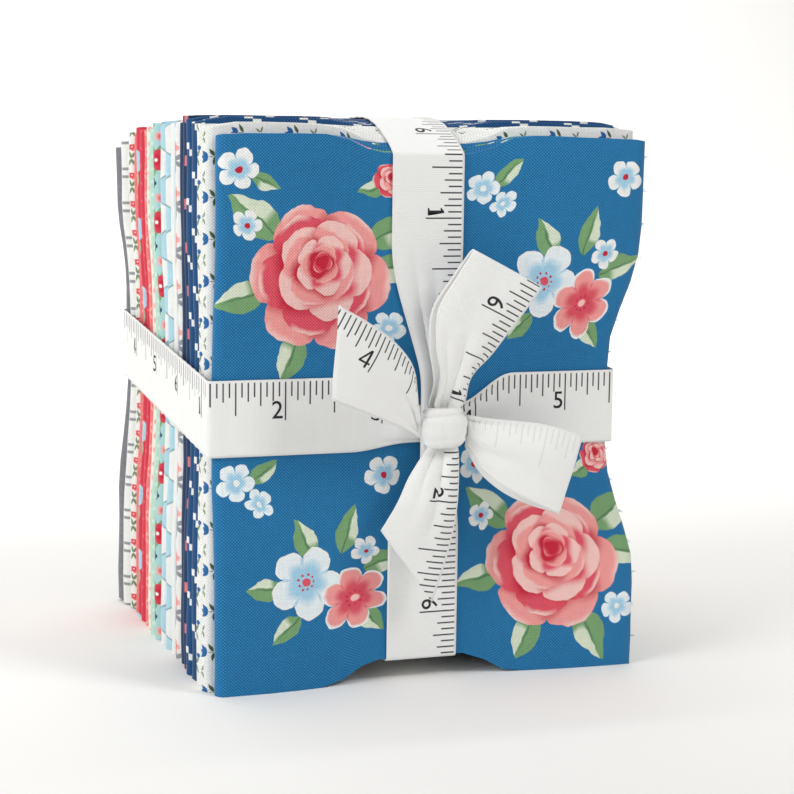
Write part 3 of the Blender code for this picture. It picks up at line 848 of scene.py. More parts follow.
# %% Fold all the cuts
Quarter = namedtuple("Quarter", "cloth left right rise hem bolt_u bolt_v")
QUARTERS = [Quarter(*row) for row in (
    ("rose_blue", -0.5, 0.0, -0.6, 0.0, -28.0, -104.0),
    ("tulip_white", 1.3, -1.0, 2.0, 0.0, -1.7, 0.0),
    ("sprig_white", 1.4, -1.4, 1.6, 0.0, 0.0, 3.0),
    ("dash_blue", 1.4, 0.2, 3.2, 0.0, 0.3, 2.0),
    ("dash_blue", 1.5, 0.6, 3.7, 0.0, 0.9, 9.0),
    ("fleck_navy", 1.0, -0.4, 3.8, 0.0, -0.8, 0.0),
    ("fleck_navy", 0.5, 0.3, 3.2, 0.0, 1.9, 6.0),
    ("posy_white", 0.6, -0.8, 2.4, 0.0, 0.0, 0.0),
    ("pale_blue", 0.6, 0.2, 2.2, 0.0, 0.0, 0.0),
    ("comb_aqua", 0.8, -0.3, 2.5, 0.0, 2.0, 0.0),
    ("comb_aqua", 0.9, 0.4, 2.4, 0.0, 6.2, 7.3),
    ("floral_aqua", 1.5, -0.6, 2.6, 0.0, -0.3, 4.0),
    ("mint", 1.5, 0.0, 1.3, 0.0, 0.0, 0.0),
    ("blush", 1.0, 0.5, 1.2, 0.0, 0.0, 0.0),
    ("coral", 0.6, -0.5, 1.2, 0.0, 0.0, 0.0),
    ("red", 0.6, 0.2, 0.6, 0.0, 0.0, 0.0),
    ("floral_red", 0.5, -0.7, 0.8, 0.0, 0.0, 6.0),
    ("coral", 0.0, 0.1, 0.2, 0.3, 2.0, 3.0),
    ("sprig_pink", 0.5, -0.3, -0.4, 0.5, -1.2, 0.0),
    ("dash_grey", 1.5, 0.3, -2.6, 0.6, -0.2, 3.0),
    ("grey", 1.9, -0.2, -3.8, 0.8, 0.0, 0.0),
)]
raw_edges = []


def fold_cut(index, quarter):
    front = FRONT + index * PITCH
    depth = front + QUARTER_DEPTH / 2
    line, outward, along = plan_of(quarter, front)
    rows, up = rows_of(quarter, depth)
    plan = line[:, None, :] + outward[:, None, :] * rows[None, :, :1]
    height = np.broadcast_to(rows[None, :, 1:], plan.shape[:2] + (1,))
    straight = np.concatenate([plan, height], axis=-1)
    points = draw_in(straight, quarter, depth) + waver(straight, index, depth, quarter)
    points[..., 2] = np.maximum(points[..., 2], np.minimum(straight[..., 2], quarter.hem + CLOTH))
    cut = flat_grid(quarter.bolt_u + FOLDED_WIDTH - along, quarter.bolt_v + up)
    raw_edges.extend((quarter.cloth, points[end]) for end in (0, -1))
    piece = woven_piece(f"folded_cut_{index + 1:02d}", points, cut, CLOTH, cottons[quarter.cloth])
    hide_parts(f"quarter_{index + 1:02d}")
    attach(piece, "root")
    return piece


cuts = [fold_cut(index, quarter) for index, quarter in enumerate(QUARTERS)]
print(len(cuts), "folded cuts,", sum(len(c.data.polygons) for c in cuts), "faces")

# %% [markdown]
# ## Loose threads
#
# A fat quarter is cut and not hemmed, so its raw ends on the right shed short threads. They all follow the
# same lines, so a Geometry Nodes tree sets them out: points along each raw edge, one small bent thread on
# each, turned and scaled at random from a fixed seed. The thread takes its colour from the cut that it
# comes from.

# %% Threads along the raw ends
THREAD_SPACING, THREAD_LENGTH, THREAD_RADIUS = 0.0085, 0.0014, 0.00006
THREAD_SEED = 7
THREADS_CLEAR = 3.0
THREAD_COLOURS = {
    "rose_blue": BLUE, "dash_blue": DEEP_BLUE, "fleck_navy": NAVY, "comb_aqua": CELL_AQUA, "floral_aqua": AQUA,
    "mint": MINT, "coral": CORAL, "red": RED, "floral_red": RED, "grey": GREY,
}


def thread_tree():
    tree = bpy.data.node_groups.new("loose_threads", "GeometryNodeTree")
    sockets = tree.interface
    sockets.new_socket("Raw Edges", in_out="INPUT", socket_type="NodeSocketGeometry")
    for name in ("Spacing", "Thread Length", "Thread Radius"):
        sockets.new_socket(name, in_out="INPUT", socket_type="NodeSocketFloat")
    sockets.new_socket("Seed", in_out="INPUT", socket_type="NodeSocketInt")
    sockets.new_socket("Thread Material", in_out="INPUT", socket_type="NodeSocketMaterial")
    sockets.new_socket("Threads", in_out="OUTPUT", socket_type="NodeSocketGeometry")
    given = tree.nodes.new("NodeGroupInput").outputs
    node = partial(place_node, tree)
    lines = node("GeometryNodeMeshToCurve", None, {"Mesh": given["Raw Edges"]}).outputs["Curve"]
    spaced = node("GeometryNodeResampleCurve", {"mode": "LENGTH"}, {"Curve": lines, "Length": given["Spacing"]})
    bend = {"Resolution": 3, "Start": (0, 0, 0), "Middle": (0.55, 0.22, 0), "End": (1, 0, 0)}
    line = node("GeometryNodeCurveQuadraticBezier", None, bend).outputs["Curve"]
    slim = node("ShaderNodeMath", {"operation": "DIVIDE"}, {0: given["Thread Radius"], 1: given["Thread Length"]})
    rim = node("GeometryNodeCurvePrimitiveCircle", None, {"Resolution": 3, "Radius": slim.outputs[0]})
    thread = node("GeometryNodeCurveToMesh", None,
                  {"Curve": line, "Profile Curve": rim.outputs["Curve"], "Fill Caps": True})
    turn = node("FunctionNodeRandomValue", {"data_type": "FLOAT_VECTOR"},
                {"Min": (0, -0.5, -0.6), "Max": (2 * math.pi, 0.5, 0.6), "Seed": given["Seed"]})
    size = node("FunctionNodeRandomValue", {"data_type": "FLOAT"}, {2: 0.25, 3: 1.0, "Seed": given["Seed"]})
    scale = node("ShaderNodeMath", {"operation": "MULTIPLY"}, {0: size.outputs[1], 1: given["Thread Length"]})
    placed = node("GeometryNodeInstanceOnPoints", None, {
        "Points": spaced.outputs["Curve"], "Instance": thread.outputs["Mesh"],
        "Rotation": turn.outputs[0], "Scale": scale.outputs[0],
    })
    real = node("GeometryNodeRealizeInstances", None, {"Geometry": placed.outputs["Instances"]})
    coloured = node("GeometryNodeSetMaterial", None,
                    {"Geometry": real.outputs["Geometry"], "Material": given["Thread Material"]})
    tree.links.new(coloured.outputs["Geometry"], tree.nodes.new("NodeGroupOutput").inputs["Threads"])
    return tree


def shed_threads():
    places, links, colours = [], [], []
    for cloth, edge in raw_edges:
        clear = edge[:, 2] > THREADS_CLEAR
        first = len(places)
        places += list(edge)
        colours += [THREAD_COLOURS.get(cloth, WHITE)] * len(edge)
        links += [(first + i, first + i + 1) for i in range(len(edge) - 1) if clear[i] and clear[i + 1]]
    mesh = bpy.data.meshes.new("raw_edges")
    mesh.from_pydata(in_frame(places).tolist(), links, [])
    tint = mesh.color_attributes.new("thread_colour", "FLOAT_COLOR", "POINT")
    tint.data.foreach_set("color", np.array(colours, dtype=np.float32).ravel())
    holder = put("raw_edges", mesh)
    look = Look("loose_thread")
    look.surface(Base_Color=look.node("ShaderNodeAttribute", {"attribute_name": "thread_colour"}), Roughness=0.9)
    maker = holder.modifiers.new("threads", "NODES")
    maker.node_group = thread_tree()
    given = {
        "Spacing": THREAD_SPACING, "Thread Length": THREAD_LENGTH, "Thread Radius": THREAD_RADIUS,
        "Seed": THREAD_SEED, "Thread Material": look.material,
    }
    for item in maker.node_group.interface.items_tree:
        if item.name in given:
            maker[item.identifier] = given[item.name]
    made = evaluated_mesh(holder)
    made.name = "loose_threads"
    piece = put("loose_threads", made)
    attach(piece, "root")
    return piece


threads = shed_threads()
print("threads:", len(threads.data.polygons), "faces")

# %% [markdown]
# ## Measuring ribbon
#
# The tie is a white 3/4 in ribbon printed like a tape measure: sixteenth-inch ticks on one edge, longer at
# the eighth, quarter, half and inch, and a number before each inch. The ticks come from the ribbon's own
# length coordinate, so they bend and bunch with the cloth. Only the outer face is printed; the reverse
# shows it faintly. A fine cross rib and a firm selvedge make it ribbon and not paper.

# %% Ribbon materials
RIBBON_WIDTH, RIBBON_WALL = 19.0, 0.34
INCH = 25.4
TICK_PITCH, TICK_HALF, TICK_START = INCH / 16, 0.19, 0.6
TICK_LENGTH = 3.6
LONGER_TICKS = {2: 1.1, 4: 1.1, 8: 2.3, 16: 1.5}
RIB_PITCH = 0.48
RIBBON_WHITE, INK = dye(246, 246, 244), dye(26, 26, 30)


def tape_ticks(look, along, across):
    number = (along / TICK_PITCH + 0.5).floor()
    length = TICK_LENGTH
    for every, more in LONGER_TICKS.items():
        length = (number.sum("FRACT", number / every) < 0.01) * more + length
    beside = inside((along - number * TICK_PITCH).abs() - TICK_HALF, 0.1)
    return beside * inside(TICK_START - across, 0.1) * inside(across - TICK_START - length, 0.15)


def ribbon_face(name, print_strength):
    look = Look(name)
    along, across = look.cloth_place()
    rib = (along * (2 * math.pi / RIB_PITCH)).sin()
    yarn = look.cloudy(along * 3.0, across * 0.6, 0.8, 3.0)
    selvedge = inside((across - RIBBON_WIDTH / 2).abs() * -1.0 + (RIBBON_WIDTH / 2 - 0.55), 0.12)
    shade = rib * 0.022 + yarn * 0.07 - selvedge * 0.03 + 0.935
    colour = look.shaded(RIBBON_WHITE, shade)
    colour = look.over(colour, INK, tape_ticks(look, along, across) * print_strength)
    bump = {"Height": rib * 0.5 + yarn * 0.5 + selvedge * 1.2, "Strength": 0.5, "Distance": 0.00007}
    look.surface(Base_Color=colour, Normal=look.node("ShaderNodeBump", None, bump), Roughness=0.62,
                 Specular_IOR_Level=0.35, Sheen_Weight=0.15)
    return look.material


ribbon_printed = ribbon_face("ribbon_printed", 0.96)
ribbon_reverse = ribbon_face("ribbon_reverse", 0.13)
print("ticks every", round(TICK_PITCH, 3), "mm")

# %% [markdown]
# ## Numbers on the tape
#
# Each number is set as text and turned to a mesh, or drawn from outlines for the one and the four; it is cut fine
# enough to bend and laid on the ribbon by looking up where its place along and across the tape has gone. They
# count one to six and start again.

# %% Numbers laid on the ribbon
NUMBER_HEIGHT, NUMBER_TOP, NUMBER_BEFORE_LINE = 4.4, 5.3, 0.7
NUMBER_LIFT = 0.035


DRAWN_FIGURES = {
    1: [((0, 0), (0.42, 0), (0.42, 0.08), (0.28, 0.12), (0.28, 1), (0.2, 1), (0, 0.84), (0, 0.76), (0.14, 0.8),
         (0.14, 0.12), (0, 0.08))],
    4: [((0.46, 0), (0.6, 0), (0.6, 1), (0.46, 1)), ((0, 0.32), (0.13, 0.32), (0.46, 0.8), (0.46, 1)),
        ((0, 0.22), (0.46, 0.22), (0.46, 0.32), (0, 0.32)), ((0.6, 0.22), (0.74, 0.22), (0.74, 0.32), (0.6, 0.32))],
}


def number_shape(figure):
    """Triangles of one figure, lower left at 0, its height 1, fine enough to bend."""
    work = bmesh.new()
    for outline in DRAWN_FIGURES.get(figure, []):
        work.faces.new([work.verts.new((x, y, 0)) for x, y in outline])
    if figure not in DRAWN_FIGURES:
        curve = bpy.data.curves.new("figure", "FONT")
        curve.body, curve.resolution_u, curve.offset = str(figure), 4, 0.004
        mesh = evaluated_mesh(put("figure", curve))
        bpy.data.curves.remove(curve)
        work.from_mesh(mesh)
        bpy.data.meshes.remove(mesh)
    low = [min(v.co[i] for v in work.verts) for i in range(2)]
    tall = max(v.co[1] for v in work.verts) - low[1]
    for v in work.verts:
        v.co = Vector(((v.co[0] - low[0]) / tall, (v.co[1] - low[1]) / tall, 0))
    for _ in range(4):
        bmesh.ops.triangulate(work, faces=work.faces)
        long_edges = [e for e in work.edges if e.calc_length() > 0.16]
        bmesh.ops.subdivide_edges(work, edges=long_edges, cuts=1)
    bmesh.ops.triangulate(work, faces=work.faces)
    places = np.array([(v.co[0], v.co[1]) for v in work.verts])
    faces = [[v.index for v in f.verts] for f in work.faces]
    work.free()
    return places, faces


def on_ribbon(points, cut, along, across, lift):
    """Where places on the tape, in mm along and across, have gone, lifted off the printed face."""
    rows, cols = points.shape[:2]
    share = np.clip(across / RIBBON_WIDTH, 0, 1) * (cols - 1)
    found = []
    for s, c in zip(along, share):
        c0 = min(int(c), cols - 2)
        column = lambda grid: grid[:, c0] * (1 - c + c0) + grid[:, c0 + 1] * (c - c0)
        line = column(points)
        row = np.interp(s, column(cut[:rows, :, 0]), np.arange(rows))
        r0 = min(int(row), rows - 2)
        here = line[r0] * (1 - row + r0) + line[r0 + 1] * (row - r0)
        normal = np.cross(points[r0, c0 + 1] - points[r0, c0], line[r0 + 1] - line[r0])
        found.append(here + normal / np.linalg.norm(normal) * lift)
    return np.array(found)


figures = {figure: number_shape(figure) for figure in range(1, 7)}
ink = Look("tape_ink")
ink.surface(Base_Color=INK, Roughness=0.6)


def tape_numbers(name, points, cut):
    """All numbers whose inch line lies on this stretch of ribbon, as one piece."""
    lengths = cut[: points.shape[0], points.shape[1] // 2, 0]
    places, faces = [], []
    for inch in range(math.ceil((lengths[0] + 5) / INCH), math.floor((lengths[-1] - 1) / INCH) + 1):
        shape, triangles = figures[(inch - 1) % 6 + 1]
        along = inch * INCH - NUMBER_BEFORE_LINE + (shape[:, 0] - shape[:, 0].max()) * NUMBER_HEIGHT
        across = NUMBER_TOP + (1 - shape[:, 1]) * NUMBER_HEIGHT
        first = sum(len(p) for p in places)
        places.append(on_ribbon(points, cut, along, across, RIBBON_WALL / 2 + NUMBER_LIFT))
        faces += [[first + i for i in reversed(t)] for t in triangles]
    mesh = bpy.data.meshes.new(name)
    mesh.from_pydata(in_frame(np.concatenate(places)).tolist(), [], faces)
    mesh.materials.append(ink.material)
    piece = put(name, mesh)
    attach(piece, "root")
    return piece


print("figures have", sum(len(f[1]) for f in figures.values()), "triangles")

# %% [markdown]
# ## Gathers
#
# Ribbon that is pulled into a knot keeps its 19 mm, so it folds lengthwise. Across the ribbon the surface
# follows a trochoid, a wave that leans over itself, and its height grows as the space for it shrinks. The
# same rule serves the two rounds and the bow.

# %% Rows across a gathered ribbon
ACROSS_STEPS = 24
RIBBON_ACROSS = np.linspace(0, RIBBON_WIDTH, ACROSS_STEPS + 1)
GATHER_WAVES, GATHER_DEPTH, GATHER_LEAN = 2.6, 1.2, 1.1


def gathered_rows(start, end, outward, phase, depth=GATHER_DEPTH, waves=GATHER_WAVES, creases=0.0):
    """A grid from the ticked edge to the plain edge, folded lengthwise where the two come close."""
    share = np.linspace(0, 1, ACROSS_STEPS + 1)[None, :, None]
    far = np.linspace(0, 1, len(start))[:, None, None]
    span = end - start
    width = np.linalg.norm(span, axis=1)[:, None, None]
    squeeze = np.sqrt(np.clip(1 - width / RIBBON_WIDTH, 0, 1))
    turn = 2 * math.pi * (waves * share + 0.12 * np.sin(2 * math.pi * share + phase)) + phase
    edge = np.sin(math.pi * share) ** 0.5
    out = depth * squeeze * (0.5 + 0.5 * np.cos(turn))
    out = out + creases * np.exp(-1.9 * far) * np.cos(2 * math.pi * 1.6 * (share + 0.12 * far) + phase + 1.0)
    lean = GATHER_LEAN * squeeze * np.sin(turn) * edge
    side = span[:, None, :] / width
    return start[:, None, :] + span[:, None, :] * share + side * lean + outward[:, None, :] * out


def round_lengths(line):
    """Length so far at each point of a closed line, and back at the first."""
    return lengths_along(np.vstack([line, line[:1]]))


def headings(line):
    """The direction of travel at each point of a closed line."""
    heading = np.roll(line, -1, axis=0) - np.roll(line, 1, axis=0)
    return heading / np.linalg.norm(heading, axis=1, keepdims=True)


def ribbon_piece(name, points, cut, length, closed=False, numbered=True):
    piece = woven_piece(name + "_cloth", points, cut, RIBBON_WALL, ribbon_printed, closed)
    piece.data.materials.append(ribbon_reverse)
    piece.modifiers["thickness"].material_offset = 1
    numbers = [tape_numbers(name + "_numbers", points, cut)] if numbered else []
    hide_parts(name)
    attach(piece, "root")
    print(name, round(length, 1), "mm of ribbon")
    return piece


# %% [markdown]
# ## The level round
#
# Wrapped tight, the ribbon touches the ridge of every fold on the left and dips a little between them. It
# climbs 9 mm to the back, because the stack was tied by hand. It starts and ends at the back under the
# upright round.

# %% Level round
RIBBON_REST = 0.45
LEFT_SIDE, RIGHT_SIDE = -FOLDED_WIDTH / 2 - 1.42, FOLDED_WIDTH / 2 - SIDE_PINCH + 1.1
CORNER_RADIUS = 1.2
GATHERED_HALF = 4.7
KNOT_CENTRE = np.array((0.2, -57.1, 66.6))
GATHER_NEAR, GATHER_FAR = 6.0, 22.0
LEVEL_START = 90.0


def level_round():
    front, back = FRONT - RIBBON_REST, BACK + RIBBON_REST
    r = CORNER_RADIUS
    plan = [(x, back) for x in np.linspace(UPRIGHT_PLACE, LEFT_SIDE + r + 3, 12)]
    plan += arc((LEFT_SIDE + r, back - r), r, 90, 180, 5)
    plan += [(LEFT_SIDE, y) for y in np.arange(back - r - 1.2, front + r + 0.4, -PITCH / 4)]
    plan += arc((LEFT_SIDE + r, front + r), r, 180, 270, 5)
    plan += [(x, front) for x in np.arange(LEFT_SIDE + r + 2, RIGHT_SIDE - r - 1, 1.6)]
    plan += arc((RIGHT_SIDE - r, front + r), r, -90, 0, 5)
    plan += [(RIGHT_SIDE, y) for y in np.arange(front + r + 2, back - r - 1, 3.0)]
    plan += arc((RIGHT_SIDE - r, back - r), r, 0, 90, 5)
    plan += [(x, back) for x in np.linspace(RIGHT_SIDE - r - 3, UPRIGHT_PLACE + 3, 12)]
    plan = np.array(plan)
    x, y = plan[:, 0], plan[:, 1]
    heading = headings(plan)
    outward = np.stack([heading[:, 1], -heading[:, 0], np.zeros(len(plan))], axis=1)
    on_front = y < FRONT
    near = np.where(on_front, ease(x, GATHER_NEAR, GATHER_FAR), 0.0)
    middle = belt_height(y) * (1 - near) + KNOT_CENTRE[2] * near
    half = RIBBON_WIDTH / 2 + (GATHERED_HALF - RIBBON_WIDTH / 2) * near
    ridge = np.cos(2 * math.pi * (y - FRONT - QUARTER_DEPTH / 2) / PITCH) - 1
    on_left = (x < LEFT_SIDE + 0.01) & (np.abs(y) < BACK - 2)
    flat = np.stack([x, y, middle], axis=1) + outward * (0.12 * ridge * on_left)[:, None]
    up = np.array((0.0, 0.0, 1.0))
    points = gathered_rows(flat + up * half[:, None], flat - up * half[:, None], outward, 0.6, 0.8)
    length = round_lengths(flat)
    start = np.interp(0.0, x[on_front], length[:-1][on_front])
    cut = flat_grid(length - start + LEVEL_START, RIBBON_ACROSS)
    return ribbon_piece("ribbon_across", points, cut, length[-1], closed=True)


ribbon_level = level_round()

# %% [markdown]
# ## The upright round
#
# It runs down the back, under the hems, up the front and over the tops, which it presses into a saddle, and
# it crosses over the level round behind the knot and at the back.

# %% Upright round
OVER_LEVEL = 1.95
CROSSING_HALF, CLIMB = 12.0, 10.0
GATHER_ABOVE, GATHER_BELOW, GATHER_NEAR_UPRIGHT = 46.0, 30.0, 8.0
GATHER_PLACE = 1.0
EDGE_TURN = 1.0
UPRIGHT_START, UPRIGHT_MARK = 7 * INCH, 118.5
KNOT_TAKES = INCH


def over_crossing(height, crossing):
    """How far the upright round stands off where it climbs over the level one."""
    return (OVER_LEVEL - RIBBON_REST) * ease(height - crossing, CROSSING_HALF, CROSSING_HALF + CLIMB)


def upright_round():
    bottom = HEM_LIFT - RIBBON_REST
    front_top, back_top = float(saddle(FRONT)), float(saddle(BACK))
    r = EDGE_TURN
    rear = float(belt_height(BACK))
    side = [(0.0, bottom)] + [(y, bottom) for y in np.arange(8, BACK, 8)]
    side += arc((BACK + RIBBON_REST - r, bottom + r), r, -90, 0, 4)
    up_back = np.linspace(bottom + r + 2, back_top - 3, 40)
    side += [(BACK + RIBBON_REST + float(over_crossing(z, rear)), z) for z in up_back]
    side += arc((BACK + RIBBON_REST - r, back_top + 0.5 - r), r, 0, 70, 4)
    over = np.linspace(BACK - 1.8, FRONT + 1.8, 66)
    side += [(y, float(saddle(y)) + 0.55 + 0.10 * math.cos(2 * math.pi * (y - FRONT) / PITCH)) for y in over]
    side += arc((FRONT - RIBBON_REST + r, front_top + 0.5 - r), r, 110, 180, 4)
    down_front = np.linspace(front_top - 2.5, bottom + r + 2, 76)
    side += [(FRONT - RIBBON_REST - float(over_crossing(z, KNOT_CENTRE[2])), z) for z in down_front]
    side += arc((FRONT - RIBBON_REST + r, bottom + r), r, 180, 270, 4)
    side += [(y, bottom) for y in np.arange(FRONT + 5, -3, 8)]
    side = np.array(side)
    y, z = side[:, 0], side[:, 1]
    heading = headings(side)
    outward = np.stack([np.zeros(len(side)), heading[:, 1], -heading[:, 0]], axis=1)
    off = z - KNOT_CENTRE[2]
    far = np.where(off > 0, GATHER_ABOVE, GATHER_BELOW)
    near = np.where(y < FRONT, ease(off, GATHER_NEAR_UPRIGHT, far), 0.0)
    x = UPRIGHT_PLACE + (GATHER_PLACE - UPRIGHT_PLACE) * near
    half = RIBBON_WIDTH / 2 + (GATHERED_HALF - RIBBON_WIDTH / 2) * near
    flat = np.stack([x, y, z], axis=1)
    right = np.array((1.0, 0.0, 0.0))
    points = gathered_rows(flat + right * half[:, None], flat - right * half[:, None], outward, 2.2, 0.95, 3.1)
    length = round_lengths(flat)
    on_front = (y < FRONT) & (z > 20) & (z < front_top - 2)
    mark = np.interp(-UPRIGHT_MARK, -z[on_front], length[:-1][on_front])
    below_knot = np.clip((length - np.interp(-KNOT_CENTRE[2], -z[on_front], length[:-1][on_front])) / 6 + 0.5, 0, 1)
    along = length - mark + UPRIGHT_START + KNOT_TAKES * below_knot
    cut = flat_grid(along, RIBBON_ACROSS)
    return ribbon_piece("ribbon_upright", points, cut, length[-1], closed=True)


ribbon_up = upright_round()

# %% [markdown]
# ## The bow
#
# A bow lies in nearly one plane, so each flap is a short table: where its two edges are, how far forward it
# lies and how much its middle bows out. A smooth curve through the rows gives the cloth between. A loop
# goes out, turns at its end and comes back behind, a little askew, so that its under layer shows along one
# edge.

# %% Tails and loops
LOOP_UPPER = np.array([
    (-2.0, 70.6, 5.0, 70.6, -57.0, 0.0),
    (-2.6, 72.6, 6.4, 72.9, -56.9, 0.0),
    (-1.6, 78.9, 7.2, 79.2, -58.6, 0.8),
    (-3.6, 87.8, 11.6, 84.9, -60.6, 1.2),
    (-3.4, 96.8, 15.3, 90.2, -61.8, 0.9),
    (0.8, 103.8, 19.5, 95.4, -62.0, 0.5),
    (5.6, 110.4, 24.2, 101.0, -61.2, 0.2),
])
LOOP_SIDE = np.array([
    (6.75, 60.9, 6.75, 69.4, -56.9, 0.0),
    (10.6, 55.4, 12.2, 68.6, -58.8, 0.9),
    (16.2, 50.8, 22.3, 67.6, -61.0, 1.3),
    (22.6, 47.3, 29.1, 66.2, -62.6, 0.9),
    (29.3, 44.2, 35.5, 64.1, -63.0, 0.3),
])
TAIL_UPPER = np.array([
    (-6.6, 64.4, -6.2, 71.2, -57.0, 0.0),
    (-11.4, 67.0, -8.4, 81.6, -59.2, 0.9),
    (-17.3, 69.6, -14.0, 88.5, -61.0, 1.4),
    (-24.6, 72.6, -21.8, 93.9, -62.8, 1.1),
    (-31.5, 75.4, -29.6, 98.2, -63.6, 0.6),
])
TAIL_LOWER = np.array([
    (-3.4, 62.4, 3.4, 62.4, -56.8, 0.0),
    (-4.6, 60.4, 4.6, 60.6, -56.6, 0.0),
    (-9.0, 54.6, 4.4, 53.1, -57.8, 1.0),
    (-11.7, 49.4, 3.6, 44.2, -58.4, 1.4),
    (-14.0, 45.0, 1.3, 33.3, -58.2, 1.0),
    (-16.2, 41.1, -2.1, 21.9, -57.4, 0.4),
])
LOOP_SLACK = 2.0
ROW_STEPS = 6


def smooth_rows(table, steps=ROW_STEPS):
    """A smooth curve through the rows of a table."""
    padded = np.vstack([2 * table[0] - table[1], table, 2 * table[-1] - table[-2]])
    made = []
    for a, b, c, d in zip(padded, padded[1:], padded[2:], padded[3:]):
        for i in range(steps):
            s = i / steps
            made.append(0.5 * (2 * b + (c - a) * s + (2 * a - 5 * b + 4 * c - d) * s ** 2
                               + (3 * b - a - 3 * c + d) * s ** 3))
    return np.array(made + [table[-1]])


def edges(rows):
    """The ticked edge and the plain edge of a flap's rows."""
    plain = np.stack([rows[:, 0], rows[:, 4], rows[:, 1]], axis=1)
    ticked = np.stack([rows[:, 2], rows[:, 4], rows[:, 3]], axis=1)
    return ticked, plain


def flap_cut(ticked, plain, zero_row, mark):
    """Flat place of a flap's grid: each edge keeps its own length, so a slanting cut stays slanting."""
    share = np.linspace(0, 1, ACROSS_STEPS + 1)
    a, b = lengths_along(ticked), lengths_along(plain)
    a, b = a - a[zero_row], b - b[zero_row]
    along = a[:, None] * (1 - share) + b[:, None] * share
    return np.stack([along + mark, np.broadcast_to(share * RIBBON_WIDTH, along.shape)], axis=-1)


def bowed(points, bow):
    """Lets the middle of each row stand forward."""
    share = np.linspace(0, 1, ACROSS_STEPS + 1)[None, :]
    points = points.copy()
    points[..., 1] -= bow[:, None] * 4 * share * (1 - share)
    return points


FORWARD = np.array((0.0, -1.0, 0.0))
FLAP_CREASES = 0.7


def tail(name, table, outwards, mark, phase, curl):
    """A free end. Its tape reads outwards, or towards the knot, and mark is the reading at the root."""
    rows = smooth_rows(table)
    ticked, plain = edges(rows)
    forward = np.tile(FORWARD, (len(rows), 1))
    points = bowed(gathered_rows(ticked, plain, forward, phase, creases=FLAP_CREASES), rows[:, 5])
    swing = np.linspace(0, 1, len(rows)) ** 1.5
    points[..., 1] -= (swing * curl)[:, None] * np.clip((np.linspace(0, 1, ACROSS_STEPS + 1) - 0.7) / 0.3, 0, 1) ** 2
    cut = flap_cut(ticked, plain, 0, 0.0)
    if outwards:
        cut[..., 0] += mark
    else:
        cut[..., 0] = mark - cut[..., 0]
        points, cut = points[::-1], cut[::-1]
    length = np.abs(cut[-1, :, 0] - cut[0, :, 0]).mean()
    return ribbon_piece(name, points, cut, length)


def loop(name, table, mark, phase, askew, numbered):
    """A bow loop, from its root at the back, out, round and to the knot; mark is the reading at its turn."""
    front = smooth_rows(table)
    last, before = front[-1], front[-4]
    out = np.array((last[0] + last[2] - before[0] - before[2], 0.0, last[1] + last[3] - before[1] - before[3]))
    out /= np.linalg.norm(out)
    radius = LOOP_SLACK / 2
    ticked, plain = edges(front)
    forward = np.tile(FORWARD, (len(front), 1))
    layer = bowed(gathered_rows(ticked, plain, forward, phase, creases=FLAP_CREASES), front[:, 5])
    behind = front.copy()
    progress = np.linspace(0, 1, len(front))
    gap = 1.0 + (LOOP_SLACK - 1.0) * np.clip(progress * 2.5, 0, 1)
    behind[:, 4] += gap
    shift = (4 * progress * (1 - progress))[:, None] * np.array(askew)
    behind[:, (0, 1)] += shift
    behind[:, (2, 3)] += shift
    back_ticked, back_plain = edges(behind)
    under = bowed(gathered_rows(back_ticked, back_plain, forward, phase, 0.3), front[:, 5])
    rounding = []
    for a in np.radians((150, 120, 90, 60, 30)):
        rounding.append(layer[-1] + out * radius * math.sin(a) + np.array((0.0, radius * (1 - math.cos(a)), 0.0)))
    points = np.concatenate([under, np.array(rounding), layer[::-1]])
    cut = flap_cut(points[:, 0], points[:, ACROSS_STEPS], len(under) + len(rounding), mark)
    length = lengths_along(points[:, ACROSS_STEPS // 2])[-1]
    return ribbon_piece(name, points, cut, length, numbered=numbered)


bow_upper = loop("bow_loop_upper", LOOP_UPPER, 6 * INCH - 10.5, 1.9, (-0.9, -0.2), True)
bow_side = loop("bow_loop_side", LOOP_SIDE, 3 * INCH - 9.0, 0.4, (-0.2, -1.2), False)
end_upper = tail("bow_tail_upper", TAIL_UPPER, False, 4 * INCH + 23.5, 1.2, 1.6)
end_lower = tail("bow_tail_lower", TAIL_LOWER, True, 2 * INCH - 15.5, 3.4, 0.5)

# %% [markdown]
# ## The knot
#
# One turn of the ribbon lies round the crossing, its length level. It is pulled so hard that it becomes a
# small barrel: its margins roll in at the top and the bottom, one deep crease runs round near the top, and
# fine ribs stand across it.

# %% Knot
KNOT_HALF = np.array((6.2, 4.2, 5.4))
KNOT_FULLNESS = 0.72
KNOT_REACH, KNOT_MARK = 62.0, 2.2
KNOT_ROUND, KNOT_ACROSS = 72, 26
Crease = namedtuple("Crease", "height width depth slope")
KNOT_CREASES = [Crease(3.1, 0.55, 0.16, 0.05), Crease(0.2, 0.8, 0.05, -0.10), Crease(-2.6, 0.7, 0.06, 0.08)]


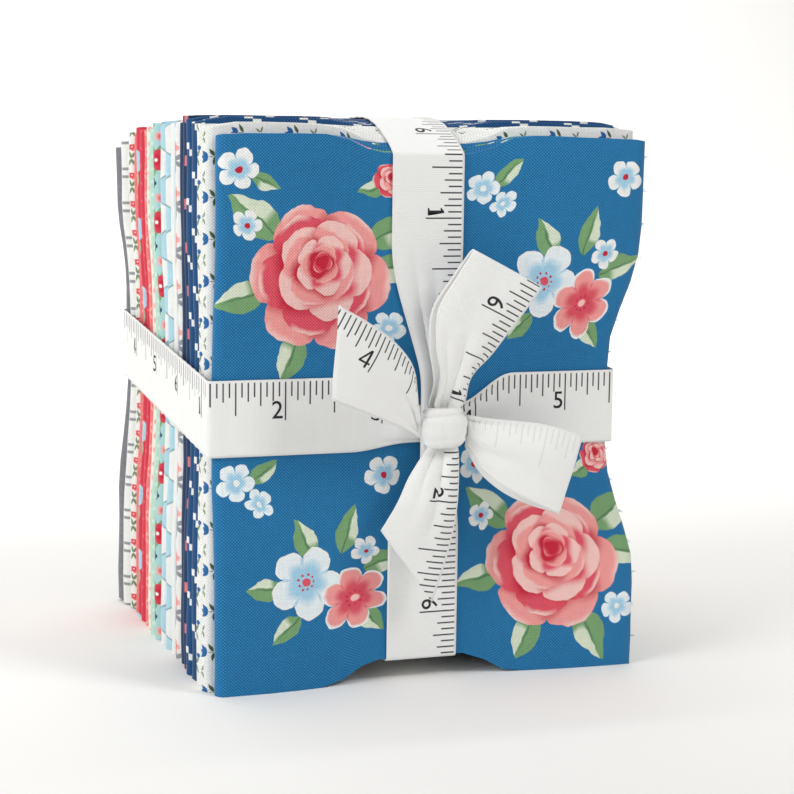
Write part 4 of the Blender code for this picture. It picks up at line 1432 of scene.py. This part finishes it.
def tie_knot():
    around = np.linspace(0, 2 * math.pi, KNOT_ROUND, endpoint=False)[:, None] + 0 * np.zeros((1, KNOT_ACROSS + 1))
    lean = np.radians(np.linspace(KNOT_REACH, -KNOT_REACH, KNOT_ACROSS + 1))[None, :] + 0 * around
    round_x, round_y, up = np.cos(around) * np.cos(lean), np.sin(around) * np.cos(lean), np.sin(lean)
    unit = np.stack([round_x, round_y, up], axis=-1)
    full = np.sign(unit) * np.abs(unit) ** KNOT_FULLNESS
    height = full[..., 2] * KNOT_HALF[2]
    pull = np.ones_like(height)
    for crease in KNOT_CREASES:
        off = height - crease.height - crease.slope * full[..., 0] * KNOT_HALF[0]
        pull -= crease.depth * np.exp(-(off / crease.width) ** 2)
    ribs = 0.016 * np.cos(17 * around + 0.5 * np.sin(3 * lean)) * np.cos(lean) + 0.010 * np.cos(29 * around + 1.0)
    radius = pull + ribs - 0.03
    points = full * KNOT_HALF
    points[..., :2] *= radius[..., None]
    points += KNOT_CENTRE
    width = lengths_along(points[0])[-1]
    middle = round_lengths(points[:, KNOT_ACROSS // 2])
    across = RIBBON_WIDTH / 2 + np.linspace(-0.5, 0.5, KNOT_ACROSS + 1) * RIBBON_WIDTH
    cut = flat_grid(middle + KNOT_MARK, across)
    piece = woven_piece("ribbon_knot_cloth", points, cut, RIBBON_WALL, ribbon_plain, closed=True)
    piece.data.materials.append(ribbon_reverse)
    piece.modifiers["thickness"].material_offset = 1
    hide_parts("ribbon_knot")
    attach(piece, "root")
    print("knot:", round(width, 1), "mm across,", round(middle[-1], 1), "mm round")
    return piece


ribbon_plain = ribbon_face("ribbon_plain", 0.0)
knot = tie_knot()

# %% [markdown]
# ## The sweep
#
# The table runs up behind the bundle in one smooth curve, so no line shows where it ends.

# %% Sweep
FLOOR_COLOUR = dye(244, 243, 240)
SWEEP_HALF_WIDTH, SWEEP_FRONT, SWEEP_BACK, SWEEP_RADIUS, SWEEP_TOP = 5.0, -3.0, 1.6, 1.4, 4.0


def lay_sweep():
    side = [(SWEEP_FRONT, 0.0)]
    side += arc((SWEEP_BACK, SWEEP_RADIUS), SWEEP_RADIUS, -90, 0, 24)
    side += [(SWEEP_BACK + SWEEP_RADIUS, SWEEP_TOP)]
    verts = [(x, y, z) for y, z in side for x in (-SWEEP_HALF_WIDTH, SWEEP_HALF_WIDTH)]
    faces = [(i, i + 1, i + 3, i + 2) for i in range(0, len(verts) - 2, 2)]
    mesh = bpy.data.meshes.new("sweep")
    mesh.from_pydata(verts, [], faces)
    mesh.shade_smooth()
    look = Look("pale_table")
    look.surface(Base_Color=FLOOR_COLOUR, Roughness=0.8)
    mesh.materials.append(look.material)
    return put("sweep", mesh)


sweep = lay_sweep()
print("sweep laid")
